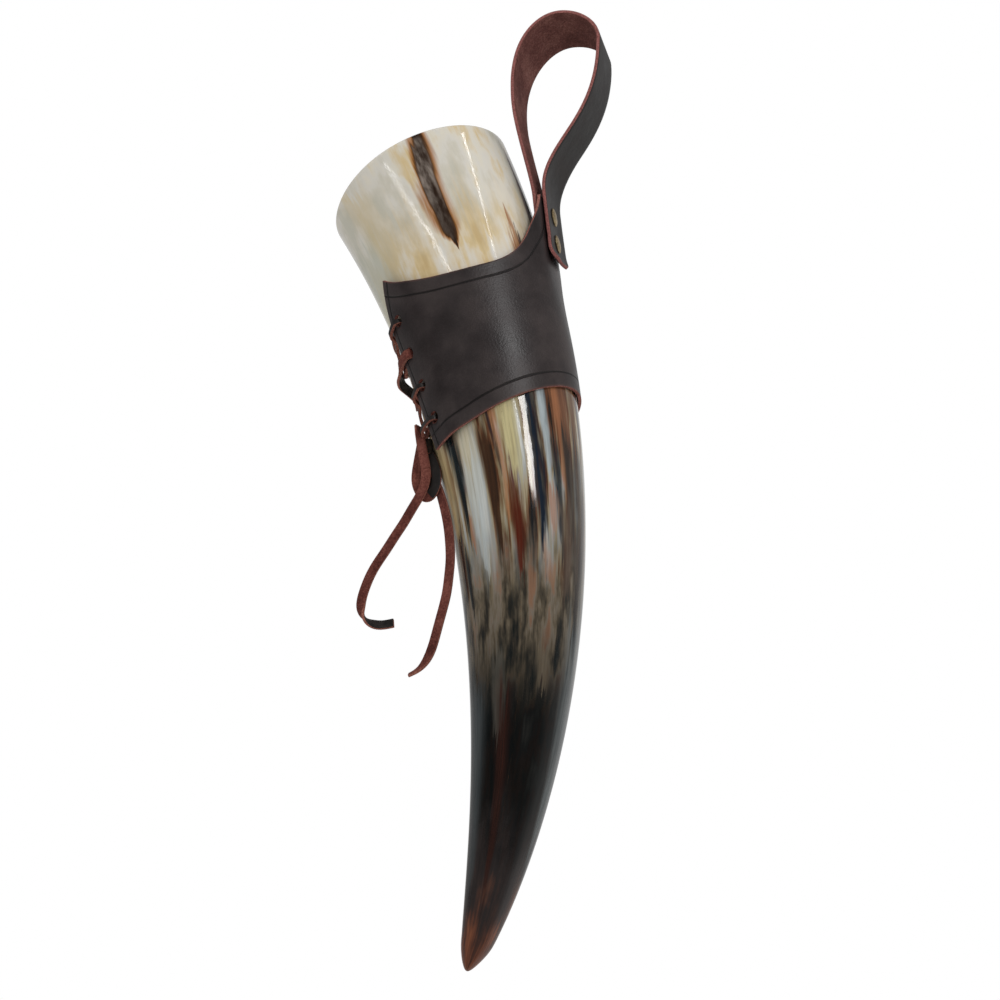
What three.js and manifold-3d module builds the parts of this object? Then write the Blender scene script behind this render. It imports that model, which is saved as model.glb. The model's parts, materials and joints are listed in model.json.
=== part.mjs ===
// A drinking horn in a laced leather holster with a riveted belt loop.
// Millimetres, +Z up. The horn bends in the XZ plane: the belt loop stands on its outer, +X side
// and the lacing closes the sleeve on its inner, -X side. The origin is where the belt carries
// the loop, inside its top.
import * as THREE from "three";
import { mergeVertices } from "three/addons/utils/BufferGeometryUtils.js";
import Module from "manifold-3d";

// Horn. Distances along it are measured down its centreline from the mouth.
const BEND_RADIUS = 461;
const HORN_LENGTH = 350;
const TAPER_BEYOND = 9; // how far past the blunt tip the taper would come to a point
const TIP_ROUND = 5;
const MOUTH_TILT = 25.8; // degrees between the mouth's axis and the vertical
const MOUTH_RADIUS = 41.4;
const HORN_TAPER = 0.63; // power of the distance to that point that the radius follows
const RIM_WALL = 3.6;
const HOLLOW_DEPTH = 245;
const HOLLOW_TAPER = 0.5;

// Leather of the sleeve and the belt strap.
const LEATHER = 1.5;
const SLEEVE_FIT = 0.4; // room between the horn and the sleeve
const SLEEVE_TOP = 65.4; // lowest point of the top edge, at the bottom of the scoop
const SLEEVE_BOTTOM = 127.1;
const BOTTOM_SLANT = 9.8; // rise of the bottom edge towards the belt side
const CORNER_RISE = 14.5; // rise of the top edge towards the lacing
const LACING_GAP_ANGLE = 33; // degrees from the middle of the lacing gap to each edge
const GAP_WAIST = 80; // where that gap is narrowest
const GAP_TOP_SPREAD = 12; // degrees that the gap opens more at its top
const GAP_BOTTOM_SPREAD = 8;

// Tab of the sleeve that carries the strap.
const TAB_TOP = 35.5;
const TAB_WIDTH = 26;
const TAB_BEND = 86; // where the tab starts to lean away from the horn
const TAB_FLAT = 57; // above this the tab is flat from side to side
const SCOOP_WIDTH = 38;
const SCOOP_POWER = 2.85;

// Belt strap: one strip folded into a loop, with the tab between its two legs.
const STRAP_WIDTH = 26;
const INNER_LEG_END = 56.5;
const OUTER_LEG_END = 62;
const OUTER_END_FLARE = 0.6;
const STRAP_END_ROUND = 4.5;
const LAYER_GAP = 0.3;
const HORN_CLEARANCE = 0.5; // between the horn and the inner rivet heads
const LOOP_INNER_REACH = 11.5; // the loop's bulge over the horn, from the tab's top
const LOOP_INNER_HEIGHT = 54;
const LOOP_TOP_REACH = 11.7;
const LOOP_TOP_HEIGHT = 87;
const LOOP_OUTER_REACH = 26.7;
const LOOP_OUTER_HEIGHT = 67;

// Double-cap rivets through the strap, the tab and the strap again.
const UPPER_RIVET = 41;
const LOWER_RIVET = 52.5;
const RIVET_RADIUS = 4;
const CAP_HEIGHT = 1.2;
const SOCKET_DEPTH = 0.6;
const HEAD_HEIGHT = 0.6;
const STEM_RADIUS = 1.4;
const RIVET_FIT = 0.15;
const STEM_FIT = 0.3;

// Flat leather lace, the holes that it runs through and the knot that ends it.
const LACE_WIDTH = 4;
const LACE_THICKNESS = 1.3;
const LACE_CHAMFER = 0.3;
const LACE_FIT = 0.4;
const FIRST_HOLE = 72;
const HOLE_PITCH = 16.5;
const HOLE_ROWS = 4;
const HOLE_INSET = 6.5; // from the lacing edge to a hole's centre
const SLACK_ROW = 1; // row whose front strand hangs loose
const SLACK_BULGE = 0.8;
const KNOT_DISTANCE = 131.5;
const KNOT_ANGLE = -20.6; // degrees from the middle of the lacing gap
const KNOT_STANDOFF = 3.5;
const KNOT_RADIUS = 2.9;
const KNOT_EDGE = 1;
const KNOT_HEIGHT = 4;
const KNOT_LEAD = 1.5; // straight end of each strand above the knot
const BIGHT_TWIST = 75; // degrees
const JOIN_GAP = 0.3; // between one stretch of the lace and the next

// Shares of a strand's run between which it dips under the leather, falls to the next row or twists.
const FRONT_DIP = [0.14, 0.34];
const BACK_LIFT = [0.12, 0.3];
const BACK_DIP = [0.54, 0.7];
const BACK_FALL = [0, 0.7];
const SLACK_DIP = [0.6, 0.8];
const SLACK_FALL = [0, 0.75];
const SLACK_BOW = [0, 0.5];
const KNOT_DIP = [0.36, 0.8];
const BIGHT_TURN = [0.6, 0.9];

// Routes from the knot's centre, in X, Y and Z: the leaf-shaped bight and the two free tails.
const BIGHT = [
  [1.6, -1.6, -0.8],
  [3.9, -2.2, -6.2],
  [4.6, -2.6, -11.8],
  [3.4, -2.2, -16.4],
  [0.4, -1.6, -18.8],
  [-2.6, -1.4, -15.8],
  [-4.0, -1.2, -11.0],
  [-4.5, -1.0, -4.4],
  [-4.4, -0.8, 2.0],
  [-4.3, -0.6, 7.2],
  [-4.0, -0.4, 12.6],
];
const LEFT_TAIL = [
  [-1.2, -3.0, -3.0],
  [-1.1, -4.7, -6.0],
  [-0.4, -5.5, -9.8],
  [-0.5, -5.2, -14.7],
  [-2.9, -4.8, -21.2],
  [-5.9, -4.0, -26.0],
  [-9.3, -3.1, -30.7],
  [-13.2, -2.2, -35.4],
  [-16.3, -1.6, -40.2],
  [-19.7, -1.2, -44.8],
  [-23.1, -1.0, -49.8],
  [-25.1, -0.9, -54.8],
  [-26.7, -0.9, -59.8],
  [-27.5, -1.0, -64.9],
  [-26.9, -1.2, -68.6],
  [-24.5, -1.6, -71.4],
  [-20.7, -1.9, -73.4],
  [-16.9, -2.0, -73.2],
  [-13.5, -2.0, -72.6],
];
const RIGHT_TAIL = [
  [-0.2, 1.3, -2.5],
  [0.9, 1.7, -7.2],
  [2.4, 1.7, -12.2],
  [4.0, 0.9, -17.8],
  [5.8, -0.2, -23.2],
  [7.5, -1.3, -28.8],
  [9.1, -1.8, -35.2],
  [9.9, -1.4, -42.8],
  [9.9, -0.9, -47.8],
  [9.3, -0.4, -52.6],
  [8.8, 0.0, -57.6],
  [8.0, 0.1, -62.6],
  [6.7, 0.5, -67.4],
  [5.5, 0.6, -72.4],
  [4.2, 1.0, -77.2],
  [2.5, 1.1, -82.2],
  [0.3, 1.5, -86.8],
  [-3.5, 2.0, -91.4],
  [-7.3, 2.0, -93.3],
];

// Fineness of the facets.
const ROUND_SIDES = 40;
const HORN_RINGS = 34;
const HOLLOW_RINGS = 20;
const RING_CROWDING = 1.8; // rings draw together towards a blunt end
const RIM_STEPS = 6;
const TAB_COLUMNS = 3;
const SCOOP_COLUMNS = 11;
const SCOOP_CROWDING = 1.3;
const FLANK_COLUMNS = 15;
const SLEEVE_ROWS = 12;
const HOLE_SIDES = 16;
const LEG_STEPS = 12;
const CORNER_STEPS = 8;
const BAR_STEPS = 7;
const TURN_STEPS = 6;
const STRAND_STEPS = 16;
const CURVE_STEPS = 14;
const BIGHT_STEPS = 24;
const TAIL_STEPS = 26;
const RIVET_SIDES = 24;

const HORN_COLOUR = 0xb9a98a;
const LEATHER_COLOUR = 0x2f2724;
const LACE_COLOUR = 0x5f3a30;
const BRASS_COLOUR = 0x8a7850;

const { degToRad, lerp, smoothstep } = THREE.MathUtils;
const wasm = await Module();
wasm.setup();

const mouthTilt = degToRad(MOUTH_TILT);
const laceRoom = LACE_THICKNESS + 2 * LACE_FIT; // under the sleeve's lacing edges
const rivetStack = 3 * LEATHER + 2 * LAYER_GAP;
const layerPitch = LEATHER + LAYER_GAP;

// A point at a distance from the mouth, out from the centreline towards +X and across along Y.
function alongHorn(distance, out, across) {
  const turn = mouthTilt - distance / BEND_RADIUS;
  const reach = BEND_RADIUS + out;
  return new THREE.Vector3(reach * Math.cos(turn), across, reach * Math.sin(turn));
}

// The direction down the horn at a distance from the mouth.
function downHorn(distance) {
  const turn = mouthTilt - distance / BEND_RADIUS;
  return new THREE.Vector3(Math.sin(turn), 0, -Math.cos(turn));
}

function hornRadius(distance) {
  const taper = (1 - distance / (HORN_LENGTH + TAPER_BEYOND)) ** HORN_TAPER;
  const intoTip = Math.max(0, 1 - (HORN_LENGTH - distance) / TIP_ROUND);
  return MOUTH_RADIUS * taper * Math.sqrt(1 - intoTip ** 2);
}

function asSolid(geometry) {
  const samePoint = 1e-4;
  const bare = geometry.clone();
  bare.deleteAttribute("normal");
  bare.deleteAttribute("uv");
  const merged = mergeVertices(bare, samePoint);
  const vertProperties = new Float32Array(merged.attributes.position.array);
  const triVerts = new Uint32Array(merged.index.array);
  return new wasm.Manifold(new wasm.Mesh({ numProp: 3, vertProperties, triVerts }));
}

function asGeometry(solid) {
  const { vertProperties, triVerts } = solid.getMesh();
  const geometry = new THREE.BufferGeometry();
  geometry.setAttribute("position", new THREE.BufferAttribute(vertProperties, 3));
  geometry.setIndex(new THREE.BufferAttribute(triVerts, 1));
  geometry.computeVertexNormals();
  return geometry;
}

function fromTriangles(vertices, triangles) {
  const geometry = new THREE.BufferGeometry();
  geometry.setFromPoints(vertices);
  geometry.setIndex(triangles);
  geometry.computeVertexNormals();
  return geometry;
}

function addMesh(parent, name, geometry, colour, roughness, metalness) {
  const material = new THREE.MeshStandardMaterial({ color: colour, roughness, metalness });
  const mesh = new THREE.Mesh(geometry, material);
  mesh.name = name;
  parent.add(mesh);
  return mesh;
}

// The horn's section from the tip up the outside, over the rounded rim and down the hollow.
function hornProfile() {
  const profile = [];
  const rim = RIM_WALL / 2;
  const rimRadius = hornRadius(rim);
  for (let i = 0; i < HORN_RINGS; i += 1) {
    const distance = HORN_LENGTH - (HORN_LENGTH - rim) * (i / HORN_RINGS) ** RING_CROWDING;
    profile.push(new THREE.Vector2(hornRadius(distance), -distance));
  }
  for (let i = 0; i <= RIM_STEPS; i += 1) {
    const turn = (Math.PI * i) / RIM_STEPS;
    const radius = rimRadius - rim + rim * Math.cos(turn);
    profile.push(new THREE.Vector2(radius, -rim + rim * Math.sin(turn)));
  }
  for (let i = 1; i <= HOLLOW_RINGS; i += 1) {
    const share = (1 - i / HOLLOW_RINGS) ** RING_CROWDING;
    const radius = (rimRadius - RIM_WALL) * share ** HOLLOW_TAPER;
    profile.push(new THREE.Vector2(radius, -HOLLOW_DEPTH + (HOLLOW_DEPTH - rim) * share));
  }
  return profile;
}

// A turned shape, mouth up at height 0, bent along the horn's arc.
function bendDownHorn(turned) {
  const position = turned.attributes.position;
  for (let i = 0; i < position.count; i += 1) {
    const bent = alongHorn(-position.getY(i), position.getX(i), -position.getZ(i));
    position.setXYZ(i, bent.x, bent.y, bent.z);
  }
  turned.computeVertexNormals();
  return turned;
}

function hornGeometry() {
  return bendDownHorn(new THREE.LatheGeometry(hornProfile(), ROUND_SIDES));
}

// How far the tab leans off the horn: at the lower rivet it leaves room for the strap's inner leg
// and the rivet's inner head.
function tabStandoff(distance) {
  const room = HEAD_HEIGHT + RIVET_FIT + HORN_CLEARANCE + LEATHER + LAYER_GAP - SLEEVE_FIT;
  const share = Math.max(0, TAB_BEND - distance) / (TAB_BEND - LOWER_RIVET);
  return room * share ** 2;
}

// Middle of the tab's leather, out from the horn's centreline.
function tabMiddle(distance) {
  return hornRadius(distance) + SLEEVE_FIT + tabStandoff(distance) + LEATHER / 2;
}

const tabAngle = Math.atan(TAB_WIDTH / 2 / tabMiddle(TAB_TOP));
const scoopAngle = tabAngle + SCOOP_WIDTH / (hornRadius(SLEEVE_TOP) + SLEEVE_FIT);

// Half of the lacing gap at a distance from the mouth: the edges bow apart above and below its waist.
function gapHalf(distance) {
  const above = Math.max(0, GAP_WAIST - distance) / (GAP_WAIST - SLEEVE_TOP + CORNER_RISE);
  const below = Math.max(0, distance - GAP_WAIST) / (SLEEVE_BOTTOM + BOTTOM_SLANT - GAP_WAIST);
  return degToRad(LACING_GAP_ANGLE + GAP_TOP_SPREAD * above ** 2 + GAP_BOTTOM_SPREAD * below ** 2);
}

// Angle of a lacing hole from the middle of the lacing gap.
function holeAngle(distance) {
  return gapHalf(distance) + HOLE_INSET / (hornRadius(distance) + laceRoom);
}

// Room under the sleeve: it lies on the horn and lifts over the lace along the lacing edges.
function sleeveRoom(distance, angle) {
  const lifted = Math.PI - holeAngle(distance) - LACE_WIDTH / hornRadius(distance);
  return lerp(SLEEVE_FIT, laceRoom, smoothstep(Math.abs(angle), (scoopAngle + lifted) / 2, lifted));
}

// A point of the sleeve, at an angle round the horn from its belt side and so far out in the leather.
function sleevePoint(distance, angle, out) {
  const lean = 1 - smoothstep(Math.abs(angle), tabAngle, scoopAngle);
  const besideTab = 1 - smoothstep(Math.abs(angle), tabAngle, 2 * tabAngle);
  const flatness = besideTab * (1 - smoothstep(distance, TAB_FLAT, TAB_BEND));
  const inside = hornRadius(distance) + sleeveRoom(distance, angle) + tabStandoff(distance) * lean;
  const round = new THREE.Vector2(Math.cos(angle), Math.sin(angle)).multiplyScalar(inside + out);
  if (flatness > 0) {
    round.lerp(new THREE.Vector2(inside + out, inside * Math.tan(angle)), flatness);
  }
  return alongHorn(distance, round.x, round.y);
}

// Columns of the sleeve on one side, from the tab's middle to the lacing edge: the top of each
// and its angle at a distance from the mouth.
function sleeveColumns() {
  const columns = [];
  for (let i = 0; i < TAB_COLUMNS; i += 1) {
    columns.push({ top: TAB_TOP, angleAt: () => (tabAngle * i) / TAB_COLUMNS });
  }
  for (let i = 0; i < SCOOP_COLUMNS; i += 1) {
    const share = (i / SCOOP_COLUMNS) ** SCOOP_CROWDING;
    columns.push({
      top: lerp(SLEEVE_TOP, TAB_TOP, (1 - share) ** SCOOP_POWER),
      angleAt: () => lerp(tabAngle, scoopAngle, share),
    });
  }
  for (let i = 0; i <= FLANK_COLUMNS; i += 1) {
    const share = i / FLANK_COLUMNS;
    columns.push({
      top: SLEEVE_TOP - CORNER_RISE * share ** 2,
      angleAt: (distance) => lerp(scoopAngle, Math.PI - gapHalf(distance), share),
    });
  }
  return columns;
}

// A closed sheet on a grid of columns and rows; side 1 is its outer face and 0 its inner face.
function closedSheet(columnCount, rowCount, pointAt) {
  const vertices = [];
  const triangles = [];
  const index = (i, j, side) => (i * (rowCount + 1) + j) * 2 + side;
  const face = (a, b, c, d) => triangles.push(a, b, c, a, c, d);
  for (let i = 0; i <= columnCount; i += 1) {
    for (let j = 0; j <= rowCount; j += 1) {
      vertices.push(pointAt(i, j, 0), pointAt(i, j, 1));
    }
  }
  for (let i = 0; i < columnCount; i += 1) {
    for (let j = 0; j < rowCount; j += 1) {
      face(index(i, j, 1), index(i, j + 1, 1), index(i + 1, j + 1, 1), index(i + 1, j, 1));
      face(index(i, j, 0), index(i + 1, j, 0), index(i + 1, j + 1, 0), index(i, j + 1, 0));
    }
    face(index(i, 0, 1), index(i + 1, 0, 1), index(i + 1, 0, 0), index(i, 0, 0));
    const last = rowCount;
    face(index(i + 1, last, 1), index(i, last, 1), index(i, last, 0), index(i + 1, last, 0));
  }
  for (let j = 0; j < rowCount; j += 1) {
    const last = columnCount;
    face(index(0, j + 1, 1), index(0, j, 1), index(0, j, 0), index(0, j + 1, 0));
    face(index(last, j, 1), index(last, j + 1, 1), index(last, j + 1, 0), index(last, j, 0));
  }
  return fromTriangles(vertices, triangles);
}

// A rivet's axis: a point in the middle of the tab and the way out through the leather.
function rivetAxis(distance) {
  const step = 0.5;
  const above = alongHorn(distance - step, tabMiddle(distance - step), 0);
  const below = alongHorn(distance + step, tabMiddle(distance + step), 0);
  const up = above.sub(below).normalize();
  const out = new THREE.Vector3(up.z, 0, -up.x);
  return { centre: alongHorn(distance, tabMiddle(distance), 0), out };
}

const rivetAxes = [rivetAxis(UPPER_RIVET), rivetAxis(LOWER_RIVET)];

// A round punch of a radius along a direction.
function punch(centre, direction, radius, length) {
  const cylinder = new THREE.CylinderGeometry(radius, radius, length, HOLE_SIDES);
  const turn = new THREE.Quaternion().setFromUnitVectors(new THREE.Vector3(0, 1, 0), direction);
  cylinder.applyQuaternion(turn);
  cylinder.translate(centre.x, centre.y, centre.z);
  return asSolid(cylinder);
}

// A point over the lacing gap: its angle from the gap's middle, positive towards +Y.
function lacingPoint(angle, distance, out) {
  const reach = hornRadius(distance) + out;
  return alongHorn(distance, -reach * Math.cos(angle), reach * Math.sin(angle));
}

const holeDistances = Array.from({ length: HOLE_ROWS }, (_, row) => FIRST_HOLE + row * HOLE_PITCH);
const laneIn = laceRoom / 2;
const laneOver = laneIn + LACE_THICKNESS + LACE_FIT;
const laneOut = laceRoom + LEATHER + LACE_FIT + LACE_THICKNESS / 2;
const turnRadius = (laneOut - laneIn) / 2;
const turnSag = turnRadius - Math.sqrt(turnRadius ** 2 - (LEATHER / 2) ** 2);
const holeRadius = Math.hypot(LACE_WIDTH / 2, LACE_THICKNESS / 2 + turnSag) + LACE_FIT;

function sleeveGeometry() {
  const half = sleeveColumns();
  const columns = [...half.slice(1).reverse(), ...half];
  const sheet = closedSheet(columns.length - 1, SLEEVE_ROWS, (i, j, side) => {
    const { top, angleAt } = columns[i];
    const bottom = SLEEVE_BOTTOM - BOTTOM_SLANT * Math.cos(angleAt(SLEEVE_BOTTOM));
    const distance = lerp(top, bottom, j / SLEEVE_ROWS);
    const hand = i < half.length - 1 ? -1 : 1;
    return sleevePoint(distance, hand * angleAt(distance), side * LEATHER);
  });
  let sleeve = asSolid(sheet);
  const deep = 6 * LEATHER;
  for (const distance of holeDistances) {
    for (const side of [-1, 1]) {
      const angle = side * holeAngle(distance);
      const centre = lacingPoint(angle, distance, laceRoom + LEATHER / 2);
      const outwards = centre.clone().sub(alongHorn(distance, 0, 0)).normalize();
      sleeve = sleeve.subtract(punch(centre, outwards, holeRadius, deep));
    }
  }
  for (const { centre, out } of rivetAxes) {
    sleeve = sleeve.subtract(punch(centre, out, STEM_RADIUS + STEM_FIT, deep));
  }
  return asGeometry(sleeve);
}

// Below the lower rivet the outer leg's end curls off the sleeve.
const flareStart = LOWER_RIVET + RIVET_RADIUS;
const endFlare = OUTER_END_FLARE / (OUTER_LEG_END - flareStart) ** 2;

// One leg of the strap beside the tab, from its top down to its end, in the XZ plane.
function strapLeg(side, end, flare) {
  const points = [];
  for (let i = 0; i <= LEG_STEPS; i += 1) {
    const distance = lerp(TAB_TOP, end, i / LEG_STEPS);
    const beyond = Math.max(0, distance - flareStart);
    const out = tabMiddle(distance) + side * layerPitch + flare * beyond ** 2;
    const point = alongHorn(distance, out, 0);
    points.push(new THREE.Vector2(point.x, point.z));
  }
  return points;
}

// The strap's middle line: up the inner leg, round the loop and down the outer leg.
const tabTop = new THREE.Vector2(
  alongHorn(TAB_TOP, tabMiddle(TAB_TOP), 0).x,
  alongHorn(TAB_TOP, tabMiddle(TAB_TOP), 0).z,
);
const innerLeg = strapLeg(-1, INNER_LEG_END, 0).reverse();
const outerLeg = strapLeg(1, OUTER_LEG_END, endFlare);
const loopInner = tabTop.clone().add(new THREE.Vector2(-LOOP_INNER_REACH, LOOP_INNER_HEIGHT));
const loopTop = tabTop.clone().add(new THREE.Vector2(LOOP_TOP_REACH, LOOP_TOP_HEIGHT));
const loopOuter = tabTop.clone().add(new THREE.Vector2(LOOP_OUTER_REACH, LOOP_OUTER_HEIGHT));

// Shares of a stretch's rise that its curve holds straight at either end; a round quarter of an
// ellipse needs the last of them.
function strapLine() {
  const innerHold = 0.35;
  const outerHold = 0.52;
  const seatHold = 0.33;
  const quarterRound = 0.56;
  const up = innerLeg.at(-1).clone().sub(innerLeg.at(-2)).normalize();
  const down = outerLeg[1].clone().sub(outerLeg[0]).normalize();
  const innerRise = loopInner.y - innerLeg.at(-1).y;
  const outerRise = loopOuter.y - outerLeg[0].y;
  const crown = loopTop.clone().sub(loopInner);
  const shoulder = loopOuter.clone().sub(loopTop);
  const shift = (point, x, y) => new THREE.Vector2(point.x + x, point.y + y);
  const curves = [
    new THREE.CubicBezierCurve(
      innerLeg.at(-1),
      innerLeg.at(-1).clone().addScaledVector(up, innerRise * innerHold),
      shift(loopInner, 0, -innerRise * innerHold),
      loopInner,
    ),
    new THREE.CubicBezierCurve(
      loopInner,
      shift(loopInner, 0, crown.y * quarterRound),
      shift(loopTop, -crown.x * quarterRound, 0),
      loopTop,
    ),
    new THREE.CubicBezierCurve(
      loopTop,
      shift(loopTop, shoulder.x * quarterRound, 0),
      shift(loopOuter, 0, -shoulder.y * quarterRound),
      loopOuter,
    ),
    new THREE.CubicBezierCurve(
      loopOuter,
      shift(loopOuter, 0, -outerRise * outerHold),
      outerLeg[0].clone().addScaledVector(down, -outerRise * seatHold),
      outerLeg[0],
    ),
  ];
  const loop = curves.flatMap((curve) => curve.getPoints(CURVE_STEPS).slice(1));
  return [...innerLeg, ...loop, ...outerLeg.slice(1)];
}

// The strap's edge in the XZ plane: its middle line moved by half the leather to each side.
function strapShape(line) {
  const offset = (amount) =>
    line.map((point, i) => {
      const run = line[Math.min(i + 1, line.length - 1)].clone().sub(line[Math.max(i - 1, 0)]);
      run.normalize();
      return new THREE.Vector2(point.x - run.y * amount, point.y + run.x * amount);
    });
  return new THREE.Shape([...offset(LEATHER / 2), ...offset(-LEATHER / 2).reverse()]);
}

// What lies outside a strap end's two rounded corners, cut through the leather.
function endCutters(end, inwards) {
  const half = STRAP_WIDTH / 2;
  const spare = 1;
  const depth = 4 * LEATHER;
  const round = Math.min(STRAP_END_ROUND, half);
  return [-1, 1].map((side) => {
    const corner = new THREE.Shape();
    corner.moveTo(-spare, half - round);
    corner.lineTo(0, half - round);
    corner.absarc(round, half - round, round, Math.PI, Math.PI / 2, true);
    corner.lineTo(round, half + spare);
    corner.lineTo(-spare, half + spare);
    const cutter = new THREE.ExtrudeGeometry(corner, {
      depth,
      bevelEnabled: false,
      curveSegments: CORNER_STEPS,
    });
    cutter.translate(0, 0, -depth / 2);
    if (side < 0) cutter.rotateX(Math.PI);
    const along = new THREE.Vector3(inwards.x, 0, inwards.y);
    const across = new THREE.Vector3(0, 1, 0);
    const axes = new THREE.Matrix4().makeBasis(along, across, along.clone().cross(across));
    axes.setPosition(end.x, 0, end.y);
    return asSolid(cutter.applyMatrix4(axes));
  });
}

function strapGeometry() {
  const line = strapLine();
  const extruded = new THREE.ExtrudeGeometry(strapShape(line), {
    depth: STRAP_WIDTH,
    bevelEnabled: false,
  });
  extruded.translate(0, 0, -STRAP_WIDTH / 2);
  extruded.rotateX(Math.PI / 2);
  let strap = asSolid(extruded);
  const deep = 4 * rivetStack;
  for (const { centre, out } of rivetAxes) {
    strap = strap.subtract(punch(centre, out, STEM_RADIUS + STEM_FIT, deep));
  }
  const ends = [
    { end: line[0], next: line[1] },
    { end: line.at(-1), next: line.at(-2) },
  ];
  for (const { end, next } of ends) {
    for (const cutter of endCutters(end, next.clone().sub(end).normalize())) {
      strap = strap.subtract(cutter);
    }
  }
  return asGeometry(strap);
}

// A rivet's two halves in its own frame: +Y points out and 0 is the stack's inner face.
function rivetPostGeometry() {
  const stemTop = rivetStack + RIVET_FIT + SOCKET_DEPTH - STEM_FIT;
  const profile = [
    [0, -RIVET_FIT - HEAD_HEIGHT],
    [RIVET_RADIUS * 0.7, -RIVET_FIT - HEAD_HEIGHT * 0.85],
    [RIVET_RADIUS, -RIVET_FIT - HEAD_HEIGHT * 0.4],
    [RIVET_RADIUS, -RIVET_FIT],
    [STEM_RADIUS, -RIVET_FIT],
    [STEM_RADIUS, stemTop],
    [0, stemTop],
  ];
  const points = profile.map(([x, y]) => new THREE.Vector2(x, y));
  return new THREE.LatheGeometry(points, RIVET_SIDES);
}

function rivetCapGeometry() {
  const base = rivetStack + RIVET_FIT;
  const socket = STEM_RADIUS + STEM_FIT;
  const profile = [
    [0, base + SOCKET_DEPTH],
    [socket, base + SOCKET_DEPTH],
    [socket, base],
    [RIVET_RADIUS, base],
    [RIVET_RADIUS, base + CAP_HEIGHT * 0.35],
    [RIVET_RADIUS * 0.88, base + CAP_HEIGHT * 0.68],
    [RIVET_RADIUS * 0.6, base + CAP_HEIGHT * 0.9],
    [RIVET_RADIUS * 0.3, base + CAP_HEIGHT * 0.98],
    [0, base + CAP_HEIGHT],
  ];
  const points = profile.map(([x, y]) => new THREE.Vector2(x, y));
  return new THREE.LatheGeometry(points, RIVET_SIDES);
}

// The flat lace's section, with its corners taken off.
const laceSection = [
  [LACE_WIDTH / 2, -LACE_THICKNESS / 2 + LACE_CHAMFER],
  [LACE_WIDTH / 2, LACE_THICKNESS / 2 - LACE_CHAMFER],
  [LACE_WIDTH / 2 - LACE_CHAMFER, LACE_THICKNESS / 2],
  [-LACE_WIDTH / 2 + LACE_CHAMFER, LACE_THICKNESS / 2],
  [-LACE_WIDTH / 2, LACE_THICKNESS / 2 - LACE_CHAMFER],
  [-LACE_WIDTH / 2, -LACE_THICKNESS / 2 + LACE_CHAMFER],
  [-LACE_WIDTH / 2 + LACE_CHAMFER, -LACE_THICKNESS / 2],
  [LACE_WIDTH / 2 - LACE_CHAMFER, -LACE_THICKNESS / 2],
];

// The lace along a route; acrossAt gives the way its width points at each step.
function laceGeometry(route, acrossAt) {
  const sides = laceSection.length;
  const last = route.length - 1;
  const vertices = [];
  const triangles = [];
  route.forEach((point, i) => {
    const run = route[Math.min(i + 1, last)].clone().sub(route[Math.max(i - 1, 0)]).normalize();
    const across = acrossAt(i, run);
    across.addScaledVector(run, -across.dot(run)).normalize();
    const face = run.clone().cross(across);
    for (const [x, y] of laceSection) {
      vertices.push(point.clone().addScaledVector(across, x).addScaledVector(face, y));
    }
  });
  for (let i = 0; i < last; i += 1) {
    for (let j = 0; j < sides; j += 1) {
      const next = (j + 1) % sides;
      const [a, b] = [i * sides + j, i * sides + next];
      triangles.push(a, b, b + sides, a, b + sides, a + sides);
    }
  }
  for (let j = 1; j < sides - 1; j += 1) {
    triangles.push(0, j + 1, j, last * sides, last * sides + j, last * sides + j + 1);
  }
  return fromTriangles(vertices, triangles);
}

// The lace's turn up through a hole, from the inner lane to the outer one.
function holeTurn(row, side) {
  const distance = holeDistances[row];
  const reach = hornRadius(distance) + laceRoom;
  return Array.from({ length: TURN_STEPS + 1 }, (_, step) => {
    const turn = (Math.PI * step) / TURN_STEPS;
    const angle = holeAngle(distance) - (turnRadius * (1 - Math.sin(turn))) / reach;
    const out = laneIn + turnRadius * (1 - Math.cos(turn));
    return { angle: side * angle, distance, out };
  });
}

// Where a strand lies on its way from the outside of one hole, over that hole's edge and under the
// other edge to the next hole: how far out, and how much of the fall to the next row it has made.
function frontLane(share) {
  return { out: lerp(laneOut, laneIn, smoothstep(share, ...FRONT_DIP)), fall: share };
}

function backLane(share) {
  const lifted = lerp(laneOver, laneIn, smoothstep(share, ...BACK_DIP));
  const out = lerp(laneOut, lifted, smoothstep(share, ...BACK_LIFT));
  return { out, fall: smoothstep(share, ...BACK_FALL) };
}

function slackLane(share) {
  const bulge = SLACK_BULGE * Math.sin(Math.PI * smoothstep(share, ...SLACK_BOW));
  const out = lerp(laneOut, laneIn, smoothstep(share, ...SLACK_DIP)) + bulge;
  return { out, fall: smoothstep(share, ...SLACK_FALL) };
}

function crossStrand(row, side) {
  const start = holeTurn(row, side).at(-1);
  const end = holeTurn(row + 1, -side)[0];
  const frontOfRow = row === SLACK_ROW ? slackLane : frontLane;
  const lane = side < 0 ? frontOfRow : backLane;
  const strand = [];
  for (let step = 1; step < STRAND_STEPS; step += 1) {
    const share = step / STRAND_STEPS;
    const { out, fall } = lane(share);
    const angle = lerp(start.angle, end.angle, share);
    strand.push({ angle, distance: lerp(start.distance, end.distance, fall), out });
  }
  return strand;
}

// Half of the lacing, from the bar inside the top pair of holes down to its last hole.
function lacingHalf(side) {
  const firstTurn = holeTurn(0, side);
  const route = [];
  for (let step = 0; step < BAR_STEPS; step += 1) {
    const angle = (firstTurn[0].angle * step) / BAR_STEPS;
    route.push({ angle, distance: holeDistances[0], out: laneIn });
  }
  for (let row = 0; row < HOLE_ROWS; row += 1) {
    const here = row % 2 === 0 ? side : -side;
    route.push(...holeTurn(row, here));
    if (row < HOLE_ROWS - 1) route.push(...crossStrand(row, here));
  }
  return route;
}

const knotAngle = degToRad(KNOT_ANGLE);
const knot = lacingPoint(knotAngle, KNOT_DISTANCE, KNOT_STANDOFF);

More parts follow.
